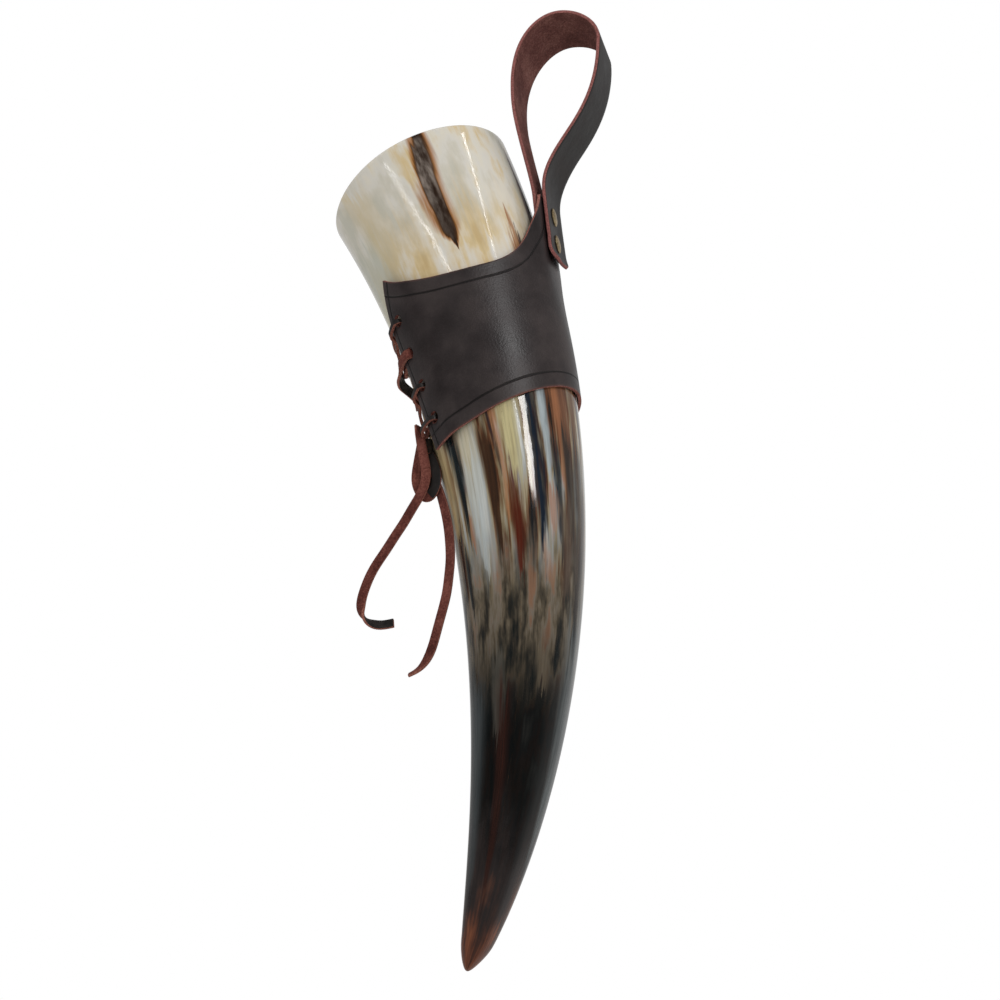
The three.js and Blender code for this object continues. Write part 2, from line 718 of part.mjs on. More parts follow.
// The strand from the outside of a last hole to the top of the knot.
function knotStrand(side) {
  const start = holeTurn(HOLE_ROWS - 1, side).at(-1);
  const distance = KNOT_DISTANCE - KNOT_HEIGHT / 2 - JOIN_GAP;
  const out = KNOT_STANDOFF + (side * (LACE_THICKNESS + LACE_FIT)) / 2;
  const strand = [];
  for (let step = 1; step <= STRAND_STEPS; step += 1) {
    const share = step / STRAND_STEPS;
    strand.push({
      angle: lerp(start.angle, knotAngle, Math.sin((Math.PI / 2) * share)),
      distance: lerp(start.distance, distance - KNOT_LEAD, 1 - Math.cos((Math.PI / 2) * share)),
      out: lerp(start.out, out, smoothstep(share, ...KNOT_DIP)),
      toKnot: true,
    });
  }
  strand.push({ angle: knotAngle, distance, out, toKnot: true });
  return strand;
}

function lacingGeometry() {
  const front = [...lacingHalf(-1), ...knotStrand(HOLE_ROWS % 2 === 0 ? 1 : -1)];
  const back = [...lacingHalf(1), ...knotStrand(HOLE_ROWS % 2 === 0 ? -1 : 1)];
  const stations = [...front.reverse(), ...back.slice(1)];
  const route = stations.map(({ angle, distance, out }) => lacingPoint(angle, distance, out));
  return laceGeometry(route, (i, run) => {
    const { distance, toKnot } = stations[i];
    if (!toKnot) return downHorn(distance);
    return route[i].clone().sub(alongHorn(distance, 0, 0)).cross(run);
  });
}

// A smooth route through points given from the knot's centre. The lace shows its flat side to the
// front, and over the last third of a twisted stretch turns edge on.
function freeLace(points, steps, twist) {
  const places = points.map((offset) => knot.clone().add(new THREE.Vector3(...offset)));
  const route = new THREE.CatmullRomCurve3(places).getSpacedPoints(steps);
  return laceGeometry(route, (i, run) => {
    const turn = degToRad(twist) * smoothstep(i / steps, ...BIGHT_TURN);
    return new THREE.Vector3(-Math.sin(turn), -Math.cos(turn), 0).cross(run);
  });
}

// The knot: a rounded lump where the lace wraps itself, with its bight.
function knotGeometry() {
  const half = KNOT_HEIGHT / 2;
  const profile = [
    [0, -half],
    [KNOT_RADIUS - KNOT_EDGE, -half],
    [KNOT_RADIUS, -half + KNOT_EDGE],
    [KNOT_RADIUS, half - KNOT_EDGE],
    [KNOT_RADIUS - KNOT_EDGE, half],
    [0, half],
  ];
  const points = profile.map(([x, y]) => new THREE.Vector2(x, y));
  const lump = new THREE.LatheGeometry(points, RIVET_SIDES);
  const up = downHorn(KNOT_DISTANCE).negate();
  lump.applyQuaternion(new THREE.Quaternion().setFromUnitVectors(new THREE.Vector3(0, 1, 0), up));
  lump.translate(knot.x, knot.y, knot.z);
  return asGeometry(asSolid(lump).add(asSolid(freeLace(BIGHT, BIGHT_STEPS, BIGHT_TWIST))));
}

const group = new THREE.Group();
group.position.set(-loopTop.x, 0, -(loopTop.y - LEATHER / 2));

addMesh(group, "drinking_horn", hornGeometry(), HORN_COLOUR, 0.2, 0);
addMesh(group, "holster_sleeve", sleeveGeometry(), LEATHER_COLOUR, 0.55, 0);
addMesh(group, "belt_strap", strapGeometry(), LEATHER_COLOUR, 0.6, 0);

["upper", "lower"].forEach((place, i) => {
  const { centre, out } = rivetAxes[i];
  const rivet = new THREE.Group();
  rivet.position.copy(centre).addScaledVector(out, -rivetStack / 2);
  rivet.quaternion.setFromUnitVectors(new THREE.Vector3(0, 1, 0), out);
  addMesh(rivet, `${place}_rivet_post`, rivetPostGeometry(), BRASS_COLOUR, 0.4, 1);
  addMesh(rivet, `${place}_rivet_cap`, rivetCapGeometry(), BRASS_COLOUR, 0.4, 1);
  group.add(rivet);
});

addMesh(group, "lacing", lacingGeometry(), LACE_COLOUR, 0.8, 0);
addMesh(group, "lace_knot", knotGeometry(), LACE_COLOUR, 0.8, 0);
addMesh(group, "lace_tail_left", freeLace(LEFT_TAIL, TAIL_STEPS, 0), LACE_COLOUR, 0.8, 0);
addMesh(group, "lace_tail_right", freeLace(RIGHT_TAIL, TAIL_STEPS, 0), LACE_COLOUR, 0.8, 0);

export default group;
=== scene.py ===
import json
import math
import bmesh
import bpy
from mathutils import Matrix, Vector
from mathutils.geometry import interpolate_bezier
from mathutils.kdtree import KDTree


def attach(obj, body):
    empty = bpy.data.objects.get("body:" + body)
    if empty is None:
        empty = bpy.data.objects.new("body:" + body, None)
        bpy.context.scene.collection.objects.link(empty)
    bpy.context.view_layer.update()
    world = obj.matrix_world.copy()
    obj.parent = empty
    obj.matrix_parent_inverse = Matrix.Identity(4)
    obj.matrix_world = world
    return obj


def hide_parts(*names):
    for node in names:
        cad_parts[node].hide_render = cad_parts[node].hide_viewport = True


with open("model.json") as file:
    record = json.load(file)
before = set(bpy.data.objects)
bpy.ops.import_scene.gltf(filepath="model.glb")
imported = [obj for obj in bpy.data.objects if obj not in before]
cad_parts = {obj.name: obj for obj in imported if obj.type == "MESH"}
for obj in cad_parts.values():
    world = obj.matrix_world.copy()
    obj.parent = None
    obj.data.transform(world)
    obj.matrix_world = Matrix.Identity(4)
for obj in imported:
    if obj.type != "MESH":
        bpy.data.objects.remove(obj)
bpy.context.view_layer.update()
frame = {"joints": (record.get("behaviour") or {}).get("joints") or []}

# Drinking horn: one natural cattle horn, bent in one plane, hollow from its mouth to two thirds of
# its length and solid at the tip. It is boiled clean, sanded and lacquered: cream at the mouth,
# streaked along the fibre in the middle and black to red-brown at the tip.
MM = 0.001
BEND_CENTRE = Vector(frame["joints"][0]["pos_m"])
BEND_RADIUS = 461 * MM
HORN_LENGTH = 352 * MM
TAPER_BEYOND = 7 * MM
TIP_ROUND = 12 * MM
TIP_LEAN = 0.7 * MM
TIP_LEAN_RUN = 14 * MM
MOUTH_DIP = 2 * MM
MOUTH_RISE = 0.7 * MM
MOUTH_RUN = 40 * MM
MOUTH_TILT = math.radians(25.8)
MOUTH_RADIUS = 41.4 * MM
HORN_TAPER = 0.63
RIM_WALL = 3.6 * MM
HOLLOW_DEPTH = 245 * MM
HOLLOW_TAPER = 0.5
HORN_RINGS = 150
HOLLOW_RINGS = 60
HORN_SIDES = 128
RIM_STEPS = 12
TIP_CROWDING = 1.5
HOLLOW_CROWDING = 1.6
WELD = 0.001 * MM
WAVE_DEPTH = 0.022 * MM
MARK_EDGE = 0.3, 1.45
MARK_FADE = 0.12

# Where each part of the horn's colour starts and is fully there, in mm from the mouth.
HONEY_FROM = 20, 58
STREAKS_FROM = 84, 112
MUD_FROM = 165, 208
BLACK_FROM = 212, 256
BROWN_FROM = 275, 325
TIP_FROM = 318, 352
DARK_HOLLOW_FROM = 20, 190
TOOTH_FROM = 70, 120
DULL_FROM = 190, 270

# The dark spear of core at the mouth: its end and the run of its point in mm, its angle round the horn.
SPEAR_END = 57
SPEAR_POINT = 14
SPEAR_TURN = -76.3

# Marks in the horn's colour as they lie on it, two of them painted sheen: angle round the horn where the mark
# starts and ends, distances from the mouth in mm, half width in degrees, how sharply it runs to a point,
# colour, depth.
HORN_MARKS_AND_SHEEN = [
    (-152, -142, 26, 100, 26, 0, "abada1", 0.7),
    (-132, -124, 4, 52, 12, 0.2, "c2b08a", 0.5),
    (-33.5, -35, 78, 50, 3.6, 0.3, "3b2a30", 0.92),
    (-38.5, -38, 76, 42, 3.2, 0.3, "93643f", 0.78),
    (-28, -29, 76, 46, 2.8, 0.4, "8e5a38", 0.75),
    (-11, -9, 76, 10, 5, 0.3, "6a5d64", 0.75),
    (-152, -146, 108, 172, 14, 0.2, "a8956f", 0.85),
    (-131, -125, 116, 182, 6.5, 0.35, "10191c", 0.97),
    (-115, -112, 108, 168, 10, 0.2, "b9b29c", 0.85),
    (-112, -112, 146, 190, 11, 0.5, "aab0b0", 0.68),
    (-122, -121, 176, 190, 3, 0.3, "8a5f42", 0.7),
    (-99, -94, 136, 186, 5.5, 0.45, "3a271b", 0.92),
    (-91, -89, 106, 148, 3.6, 0.45, "161a24", 0.92),
    (-87, -86, 122, 178, 3.2, 0.4, "9a6a47", 0.8),
    (-77, -75, 104, 162, 10, 0.35, "b5ab82", 0.9),
    (-79, -77, 156, 202, 6, 0.4, "4b1c11", 0.9),
    (-58, -56, 104, 198, 5.5, 0.3, "18202b", 0.94),
    (-49, -48, 104, 158, 4.5, 0.4, "97a0a3", 0.85),
    (-41, -39, 138, 184, 5.5, 0.4, "18222a", 0.92),
    (-36, -33, 104, 166, 5, 0.3, "8b5c3f", 0.8),
    (-27, -27, 108, 170, 5.5, 0.3, "6b4733", 0.8),
    (-28, -28, 138, 162, 3, 0.4, "1f1714", 0.88),
    (-46, -46, 163, 183, 5, 0.3, "8f7060", 0.8),
    (-16, -14, 104, 174, 6, 0.3, "5e4332", 0.8),
    (-29, -25, 132, 184, 6.5, 0.25, "24211f", 0.8),
    (-134, -133, 186, 212, 4, 0.3, "15191a", 0.9),
    (-14, -12, 146, 206, 15, 0.2, "38332f", 0.85),
    (-33, -31, 166, 204, 8, 0.2, "4f4239", 0.8),
    (-103, -101, 230, 262, 8, 0.15, "57544d", 0.5),
    (-56, -52, 226, 244, 9, 0.3, "5d5345", 0.6),
    # Painted sheen: these two grey-blue bands stand for light reflected down the left and right edges of the
    # black part.
    (-140, -134, 240, 322, 20, 0.3, "3f4547", 0.6),
    (-12, -10, 212, 305, 16, 0.3, "5a5f60", 0.62),
    (-95, -90, 244, 326, 9, 0.3, "301710", 0.7),
]


def lerp(first, second, share):
    return first + (second - first) * share


def ease(value, low, high):
    share = min(1, max(0, (value - low) / (high - low)))
    return share * share * (3 - 2 * share)


def paint(code):
    """A written colour as the linear red, green, blue and alpha that a shader takes."""
    parts = [int(code[i:i + 2], 16) / 255 for i in (0, 2, 4)]
    return [c / 12.92 if c <= 0.04045 else ((c + 0.055) / 1.055) ** 2.4 for c in parts] + [1]


def horn_radius(distance):
    taper = max(0, 1 - distance / (HORN_LENGTH + TAPER_BEYOND)) ** HORN_TAPER
    into_tip = max(0, 1 - (HORN_LENGTH - distance) / TIP_ROUND)
    return MOUTH_RADIUS * taper * math.sqrt(max(0, 1 - into_tip ** 2))


def along_horn(distance, out, across):
    """A point at a distance down the horn, out towards the belt side and across along the belt."""
    turn = MOUTH_TILT - distance / BEND_RADIUS
    reach = BEND_RADIUS + out
    return BEND_CENTRE + Vector((reach * math.cos(turn), across, reach * math.sin(turn)))


def horn_section():
    """The horn's half section, from the tip up the outside, over the rim and down the hollow."""
    rim = RIM_WALL / 2
    rim_radius = horn_radius(rim)
    section = []
    for i in range(HORN_RINGS):
        distance = HORN_LENGTH - (HORN_LENGTH - rim) * (i / HORN_RINGS) ** TIP_CROWDING
        section.append((horn_radius(distance), 0, -distance))
    for i in range(RIM_STEPS + 1):
        turn = math.pi * i / RIM_STEPS
        section.append((rim_radius - rim + rim * math.cos(turn), 0, -rim + rim * math.sin(turn)))
    for i in range(1, HOLLOW_RINGS + 1):
        share = (1 - i / HOLLOW_RINGS) ** HOLLOW_CROWDING
        radius = (rim_radius - RIM_WALL) * share ** HOLLOW_TAPER
        section.append((radius, 0, lerp(-HOLLOW_DEPTH, -rim, share)))
    return section


class Shade:
    """A socket of a finish: sums on it become Math nodes, and node() adds any other node."""

    def __init__(self, tree, socket=None):
        self.tree = tree
        self.socket = socket

    def node(self, kind, settings, inputs, output=0):
        made = self.tree.nodes.new(kind)
        for name, value in settings.items():
            if name == "stops":
                elements = made.color_ramp.elements
                for element, (place, colour) in zip(elements, (value[0], value[-1])):
                    element.position = place
                    element.color = colour
                for place, colour in value[1:-1]:
                    elements.new(place).color = colour
            else:
                setattr(made, name, value)
        for name, value in inputs.items():
            if isinstance(value, Shade):
                self.tree.links.new(value.socket, made.inputs[name])
            else:
                made.inputs[name].default_value = value
        return Shade(self.tree, made.outputs[output])

    def maths(self, operation, *terms):
        return self.node("ShaderNodeMath", {"operation": operation}, dict(enumerate(terms)))

    def __add__(self, other):
        return self.maths("ADD", self, other)

    def __radd__(self, other):
        return self.maths("ADD", other, self)

    def __sub__(self, other):
        return self.maths("SUBTRACT", self, other)

    def __rsub__(self, other):
        return self.maths("SUBTRACT", other, self)

    def __mul__(self, other):
        return self.maths("MULTIPLY", self, other)

    def __rmul__(self, other):
        return self.maths("MULTIPLY", other, self)

    def __truediv__(self, other):
        return self.maths("DIVIDE", self, other)

    def __pow__(self, other):
        return self.maths("POWER", self, other)

    def __abs__(self):
        return self.maths("ABSOLUTE", self)


def between(value, low, high):
    """0 below low, 1 above high, eased between."""
    settings = {"interpolation_type": "SMOOTHSTEP"}
    return value.node("ShaderNodeMapRange", settings, {"Value": value, 1: low, 2: high})


def mixed(mask, first, second):
    """The first colour where the mask is 0 and the second where it is 1."""
    return mask.node("ShaderNodeMix", {"data_type": "RGBA"}, {0: mask, 6: first, 7: second}, 2)


def grain(place, scale, detail=3, roughness=0.55):
    """Noise from 0 to 1 about its middle at a place."""
    inputs = {"Vector": place, "Scale": scale, "Detail": detail, "Roughness": roughness}
    return between(place.node("ShaderNodeTexNoise", {}, inputs), 0.25, 0.75)


def ramp(value, stops):
    return value.node("ShaderNodeValToRGB", {"stops": [(p, paint(c)) for p, c in stops]}, {0: value})


def bumped(height, depth, under=None):
    """Surface relief of a height from 0 to 1, so many metres deep, over another relief."""
    inputs = {"Strength": 1.0, "Distance": depth, "Height": height}
    if under:
        inputs["Normal"] = under
    return height.node("ShaderNodeBump", {}, inputs)


def new_finish(name):
    """An empty finish and the start of its node tree."""
    finish = bpy.data.materials.new(name)
    finish.use_nodes = True
    return finish, Shade(finish.node_tree)


def surface(finish, **inputs):
    """Sets the finish's shader: links for what varies, values for what doesn't."""
    shader = finish.node_tree.nodes["Principled BSDF"]
    for name, value in inputs.items():
        socket = shader.inputs[name.replace("_", " ")]
        if isinstance(value, Shade):
            finish.node_tree.links.new(value.socket, socket)
        else:
            socket.default_value = value
    return finish


def placed(name, shape, finishes):
    """A finished shape as an object at the origin."""
    mesh = bpy.data.meshes.new(name)
    shape.to_mesh(mesh)
    shape.free()
    for finish in finishes:
        mesh.materials.append(finish)
    mesh.shade_smooth()
    piece = bpy.data.objects.new(name, mesh)
    bpy.context.scene.collection.objects.link(piece)
    return piece


def horn_mark(turn, distance, start_turn, end_turn, start, end, half, point):
    """How much of a mark shows at a turn and distance."""
    share = distance.node("ShaderNodeMapRange", {}, {"Value": distance, 1: start, 2: end})
    centre = start_turn + share * (end_turn - start_turn)
    width = half * (1 - share) ** point + 0.01
    sides = 1 - between(abs(turn - centre) / width, *MARK_EDGE)
    fade = (end - start) * MARK_FADE
    ends = between(distance, start - fade, start + fade) * (1 - between(distance, end - fade, end + fade))
    return sides * ends


def horn_finish():
    finish, tree = new_finish("polished_horn")
    straight = tree.node("ShaderNodeAttribute", {"attribute_name": "straight"}, {}, "Vector")
    x, y, z = (straight.node("ShaderNodeSeparateXYZ", {}, {0: straight}, i) for i in range(3))
    radius = (x * x + y * y) ** 0.5
    distance = z * -1000
    turn = y.maths("ARCTAN2", y, x) * math.degrees(1)

    def fibres(round_count, long_scale, detail):
        parts = {0: x / radius * round_count, 1: y / radius * round_count, 2: distance * long_scale}
        return grain(straight.node("ShaderNodeCombineXYZ", {}, parts), 1, detail)

    clouds = fibres(3.4, 0.04, 4)
    broad = fibres(7, 0.024, 4)
    fine = fibres(22, 0.036, 3)
    hair = fibres(75, 0.05, 2)
    patches = fibres(4.6, 0.045, 4) * 0.72 + broad * 0.2 + fine * 0.08
    calm = fibres(1.7, 0.045, 3)
    long_streak = fibres(5, 0.014, 3) * 0.6 + broad * 0.25 + fine * 0.15
    streak = broad * 0.7 + fine * 0.25 + hair * 0.05
    ragged_turn = turn + (broad - 0.5) * 4 + (fine - 0.5) * 2.6 + (hair - 0.5) * 0.9
    ragged = distance + (broad - 0.5) * 16 + (fine - 0.5) * 14 + (hair - 0.5) * 2
    gentle = distance + (patches - 0.5) * 30
    calmer = distance + (calm - 0.5) * 26 + (broad - 0.5) * 8

    mouth = ramp(clouds * 0.85 + fine * 0.15, [(0.1, "b8b5a8"), (0.3, "c2bdb0"), (0.5, "cac6bd"),
                                               (0.7, "cdc7b9"), (0.92, "c7b28a")])
    honey = ramp(clouds * 0.75 + fine * 0.25, [(0.15, "bba377"), (0.4, "c8b48d"), (0.6, "cdc3b0"),
                                               (0.85, "cdcac3")])
    middle = ramp(long_streak, [(0.2, "10161b"), (0.32, "2b211a"), (0.42, "5f3d29"), (0.5, "7c6d54"),
                                (0.58, "9c917a"), (0.68, "989a98"), (0.8, "bdbeb9")])
    muddy = ramp(patches, [(0.18, "161a1a"), (0.34, "302c26"), (0.46, "494237"), (0.56, "5e5446"),
                           (0.68, "6b6358"), (0.84, "7a5d4a")])
    black = ramp(patches, [(0.2, "070b0c"), (0.42, "0b0d0d"), (0.55, "150e0b"), (0.7, "0d0f0f"),
                           (0.9, "1c1c1a")])
    tip = ramp(calm * 0.7 + broad * 0.3, [(0.2, "4f2d20"), (0.5, "663b29"), (0.8, "7a4a33")])
    colour = mixed(between(ragged, *HONEY_FROM), mouth, honey)
    colour = mixed(between(ragged, *STREAKS_FROM), colour, middle)
    colour = mixed(between(ragged, *MUD_FROM), colour, muddy)
    colour = mixed(between(gentle, *BLACK_FROM), colour, black)
    colour = mixed(between(calmer, *BROWN_FROM) * 0.55, colour, paint("3a3231"))
    colour = mixed(between(calmer, *TIP_FROM), colour, tip)
    mottle = 0.62 + patches * 0.4 + fine * 0.36
    # Lays each mark over the colour, the two painted sheen bands on the black part among them.
    for *shape, shade, depth in HORN_MARKS_AND_SHEEN:
        colour = mixed(horn_mark(ragged_turn, ragged, *shape) * depth * mottle, colour, paint(shade))
    tooth = 0.82 + fine * 0.2 + hair * 0.16
    tooth = 1 + between(distance, *TOOTH_FROM) * (tooth - 1)
    toothed = {"data_type": "RGBA", "blend_type": "MULTIPLY"}
    colour = tree.node("ShaderNodeMix", toothed, {0: 1.0, 6: colour, 7: tooth}, 2)

    widest = 3.4 + broad * 2 + between(distance, 0, 16) * 1.6
    spear = between(SPEAR_END - distance, 0, SPEAR_POINT) * widest + 0.01
    aside = turn + (broad - 0.5) * 2.4 + (fine - 0.5) * 1.6 - SPEAR_TURN
    aside = abs(aside + between(distance, 0, 30) * 5.7 - between(distance, 38, 58) * 2) / spear
    pits = between(fibres(9, 0.075, 4), 0, 1) * between(distance, 1, 5)
    pits = pits * (1 - between(distance, 16, 50) * 0.8)
    core = mixed(pits, paint("2a1d15"), paint("8e837a"))
    colour = mixed((1 - between(aside, 0.9, 1.7)) * 0.9, colour, paint("96602c"))
    core = mixed(between(aside, 0.4, 0.9), core, paint("40260f"))
    colour = mixed(1 - between(aside, 0.72, 1.05), colour, core)

    hollow = tree.node("ShaderNodeAttribute", {"attribute_name": "hollow"}, {}, "Fac")
    inside = ramp(streak, [(0.2, "a89a7c"), (0.5, "c5b999"), (0.8, "cfc8b4")])
    colour = mixed(hollow, colour, mixed(between(distance, *DARK_HOLLOW_FROM), inside, paint("3b3026")))

    relief = bumped(fibres(7, 0.08, 2), WAVE_DEPTH)
    dulled = 0.055 + hollow * 0.4 + fine * 0.03 + between(distance, *DULL_FROM) * 0.18
    return surface(finish, Base_Color=colour, Roughness=dulled, Normal=relief, Specular_IOR_Level=0.45)


horn_shape = bmesh.new()
section = [horn_shape.verts.new(point) for point in horn_section()]
section += [horn_shape.edges.new(pair) for pair in zip(section, section[1:])]
bmesh.ops.spin(horn_shape, geom=section, axis=(0, 0, 1), cent=(0, 0, 0), angle=2 * math.pi,
               steps=HORN_SIDES, use_merge=True)
bmesh.ops.remove_doubles(horn_shape, verts=horn_shape.verts, dist=WELD)
bmesh.ops.recalc_face_normals(horn_shape, faces=horn_shape.faces)
straight_layer = horn_shape.verts.layers.float_vector.new("straight")
hollow_layer = horn_shape.verts.layers.float.new("hollow")
for vert in horn_shape.verts:
    out, across, height = vert.co
    vert[straight_layer] = vert.co
    wall = horn_radius(-height) - math.hypot(out, across)
    vert[hollow_layer] = 1.0 if wall > RIM_WALL * 0.6 else 0.0
    lean = TIP_LEAN * ease(-height, HORN_LENGTH - TIP_LEAN_RUN, HORN_LENGTH)
    dip = MOUTH_DIP * min(0, out / MOUTH_RADIUS) ** 2 - MOUTH_RISE * min(0, across / MOUTH_RADIUS) ** 2
    vert.co = along_horn(dip * (1 - ease(-height, 0, MOUTH_RUN)) - height, out - lean, across)
horn = placed("horn_polished", horn_shape, [horn_finish()])
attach(horn, "horn")
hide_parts("drinking_horn")

# Holster sleeve: one sheet of dark oil-tanned leather wrapped round the horn, its top edge scooped
# up into the tab that carries the strap. The edges are cut raw, lines are tooled along them, and a
# row of holes is punched beside each lacing edge.
LEATHER = 1.5 * MM
SLEEVE_FIT = 0.4 * MM
SLEEVE_TOP = 65.4 * MM
SLEEVE_BOTTOM = 127.1 * MM
BOTTOM_SLANT = 9.8 * MM
CORNER_RISE = 14.5 * MM
LACING_GAP = 33
GAP_WAIST = 80 * MM
GAP_TOP_SPREAD = 12
GAP_BOTTOM_SPREAD = 8
TAB_TOP = 35.5 * MM
TAB_WIDTH = 26 * MM
TAB_BEND = 86 * MM
TAB_FLAT = 57 * MM
SCOOP_WIDTH = 38 * MM
SCOOP_POWER = 2.85
TAB_STIFF = 0.6
LAYER_GAP = 0.3 * MM
UPPER_RIVET = 41 * MM
LOWER_RIVET = 52.5 * MM
INNER_HEAD = 0.6 * MM
RIVET_FIT = 0.15 * MM
HORN_CLEARANCE = 0.5 * MM
STEM_HOLE = 1.7 * MM
LACE_WIDTH = 4 * MM
LACE_THICKNESS = 1.3 * MM
LACE_FIT = 0.4 * MM
LACE_ROOM = LACE_THICKNESS + 2 * LACE_FIT
FIRST_HOLE = 72 * MM
HOLE_PITCH = 16.5 * MM
HOLE_ROWS = 4
HOLE_INSET = 6.5 * MM
HOLE_RADIUS = 2.55 * MM
PUNCH_DEPTH = 6 * LEATHER
LEATHER_EDGE = 0.25 * MM
SHARP_ANGLE = math.radians(50)
TOOLED_LINES = (("from_top", 6.2 * MM), ("from_bottom", 6.3 * MM), ("from_lacing", 3.2 * MM))
LINE_WIDTH = 0.1 * MM, 0.65 * MM
LINE_DEPTH = 0.35 * MM
WORN_WIDTH = 0.1 * MM, 1.1 * MM
SLEEVE_COLUMNS = 240
SLEEVE_ROWS = 72


def tab_standoff(distance):
    room = INNER_HEAD + RIVET_FIT + HORN_CLEARANCE + LEATHER + LAYER_GAP - SLEEVE_FIT
    return room * (max(0, TAB_BEND - distance) / (TAB_BEND - LOWER_RIVET)) ** 2


def tab_middle(distance):
    return horn_radius(distance) + SLEEVE_FIT + tab_standoff(distance) + LEATHER / 2


TAB_ANGLE = math.atan(TAB_WIDTH / 2 / tab_middle(TAB_TOP))
SCOOP_ANGLE = TAB_ANGLE + SCOOP_WIDTH / (horn_radius(SLEEVE_TOP) + SLEEVE_FIT)


def gap_half(distance):
    above = max(0, GAP_WAIST - distance) / (GAP_WAIST - SLEEVE_TOP + CORNER_RISE)
    below = max(0, distance - GAP_WAIST) / (SLEEVE_BOTTOM + BOTTOM_SLANT - GAP_WAIST)
    return math.radians(LACING_GAP + GAP_TOP_SPREAD * above ** 2 + GAP_BOTTOM_SPREAD * below ** 2)


def hole_angle(distance):
    return gap_half(distance) + HOLE_INSET / (horn_radius(distance) + LACE_ROOM)


def lacing_point(angle, distance, out):
    """A point over the lacing gap, at an angle from its middle and so far off the horn."""
    reach = horn_radius(distance) + out
    return along_horn(distance, -reach * math.cos(angle), reach * math.sin(angle))


def sleeve_point(distance, angle, out):
    """A point so far out in the sleeve, which lifts over the lace and leans off the horn at its tab."""
    turned = abs(angle)
    lifted = math.pi - hole_angle(distance) - LACE_WIDTH / horn_radius(distance)
    room = lerp(SLEEVE_FIT, LACE_ROOM, ease(turned, (SCOOP_ANGLE + lifted) / 2, lifted))
    lean = tab_standoff(distance) * (1 - ease(turned, TAB_ANGLE, SCOOP_ANGLE))
    inside = horn_radius(distance) + room + lean
    flat = (1 - ease(turned, TAB_ANGLE, 2 * TAB_ANGLE)) * (1 - ease(distance, TAB_FLAT, TAB_BEND))
    out_part = (inside + out) * math.cos(angle)
    across_part = (inside + out) * math.sin(angle)
    if flat > 0:
        out_part = lerp(out_part, inside + out, flat * TAB_STIFF)
        across_part = lerp(across_part, inside * math.tan(angle), flat)
    return along_horn(distance, out_part, across_part)


def sleeve_place(column, row):
    """Distance and angle at a column from -1 to 1 between the lacing edges and a row from 0 to 1 down."""
    tab_share, scoop_share = 0.1, 0.45
    side = abs(column)
    if side < tab_share:
        top, angle, flank = TAB_TOP, TAB_ANGLE * side / tab_share, None
    elif side < scoop_share:
        share = ((side - tab_share) / (scoop_share - tab_share)) ** 1.3
        top = lerp(SLEEVE_TOP, TAB_TOP, (1 - share) ** SCOOP_POWER)
        angle, flank = lerp(TAB_ANGLE, SCOOP_ANGLE, share), None
    else:
        flank = (side - scoop_share) / (1 - scoop_share)
        top = SLEEVE_TOP - CORNER_RISE * flank ** 2
        angle = lerp(SCOOP_ANGLE, math.pi - gap_half(SLEEVE_BOTTOM), flank)
    bottom = SLEEVE_BOTTOM - BOTTOM_SLANT * math.cos(angle)
    distance = lerp(top, bottom, row)
    if flank is not None:
        angle = lerp(SCOOP_ANGLE, math.pi - gap_half(distance), flank)
    return distance, math.copysign(angle, column)


def settled(piece):
    """Makes a piece's modifiers part of its mesh and keeps its creases sharp."""
    evaluated = piece.evaluated_get(bpy.context.evaluated_depsgraph_get())
    raw = piece.data
    piece.data = bpy.data.meshes.new_from_object(evaluated)
    piece.modifiers.clear()
    bpy.data.meshes.remove(raw)
    piece.data.name = piece.name
    piece.data.shade_smooth()
    piece.data.set_sharp_from_angle(angle=SHARP_ANGLE)
    return piece


def thickened(piece, thickness, offset, edge):
    """Gives a sheet of leather its thickness, with flesh side and cut edges, and eases those edges."""
    wall = piece.modifiers.new("thickness", "SOLIDIFY")
    wall.thickness = thickness
    wall.offset = offset
    wall.use_even_offset = True
    wall.material_offset = 1
    wall.material_offset_rim = 2
    bevel = piece.modifiers.new("edges", "BEVEL")
    bevel.width = edge
    bevel.segments = 2
    bevel.limit_method = "ANGLE"
    bevel.angle_limit = math.radians(60)
    return settled(piece)


def punched(piece, holes, radius, depth):
    """Punches round holes through a leather piece, each at a centre and along a direction."""
    tool = bmesh.new()
    for centre, direction in holes:
        turn = direction.to_track_quat("Z", "Y").to_matrix().to_4x4()
        bmesh.ops.create_cone(tool, cap_ends=True, segments=32, radius1=radius, radius2=radius,
                              depth=depth, matrix=Matrix.Translation(centre) @ turn)
    for face in tool.faces:
        face.material_index = 2
    cutter = placed("punch", tool, piece.data.materials)
    cut = piece.modifiers.new("holes", "BOOLEAN")
    cut.object = cutter
    cut.operation = "DIFFERENCE"
    cut.solver = "EXACT"
    settled(piece)
    bpy.data.objects.remove(cutter)
    return piece


def rivet_axis(distance):
    """Where a rivet sits in the tab's middle and the way out through the leather."""
    reach = 0.5 * MM
    line = [along_horn(d, tab_middle(d), 0) for d in (distance - reach, distance, distance + reach)]
    up = (line[0] - line[2]).normalized()
    return line[1], Vector((up.z, 0, -up.x))


RIVET_AXES = [rivet_axis(UPPER_RIVET), rivet_axis(LOWER_RIVET)]
HOLE_DISTANCES = [FIRST_HOLE + row * HOLE_PITCH for row in range(HOLE_ROWS)]


def pores(place, scale):
    """Leather's grain: small rounded cells with fine creases between them."""
    cells = place.node("ShaderNodeTexVoronoi", {"feature": "SMOOTH_F1"}, {"Vector": place, "Scale": scale})
    return cells + grain(place, scale * 0.6) * 0.5


def object_place(tree):
    return tree.node("ShaderNodeTexCoord", {}, {}, "Object")


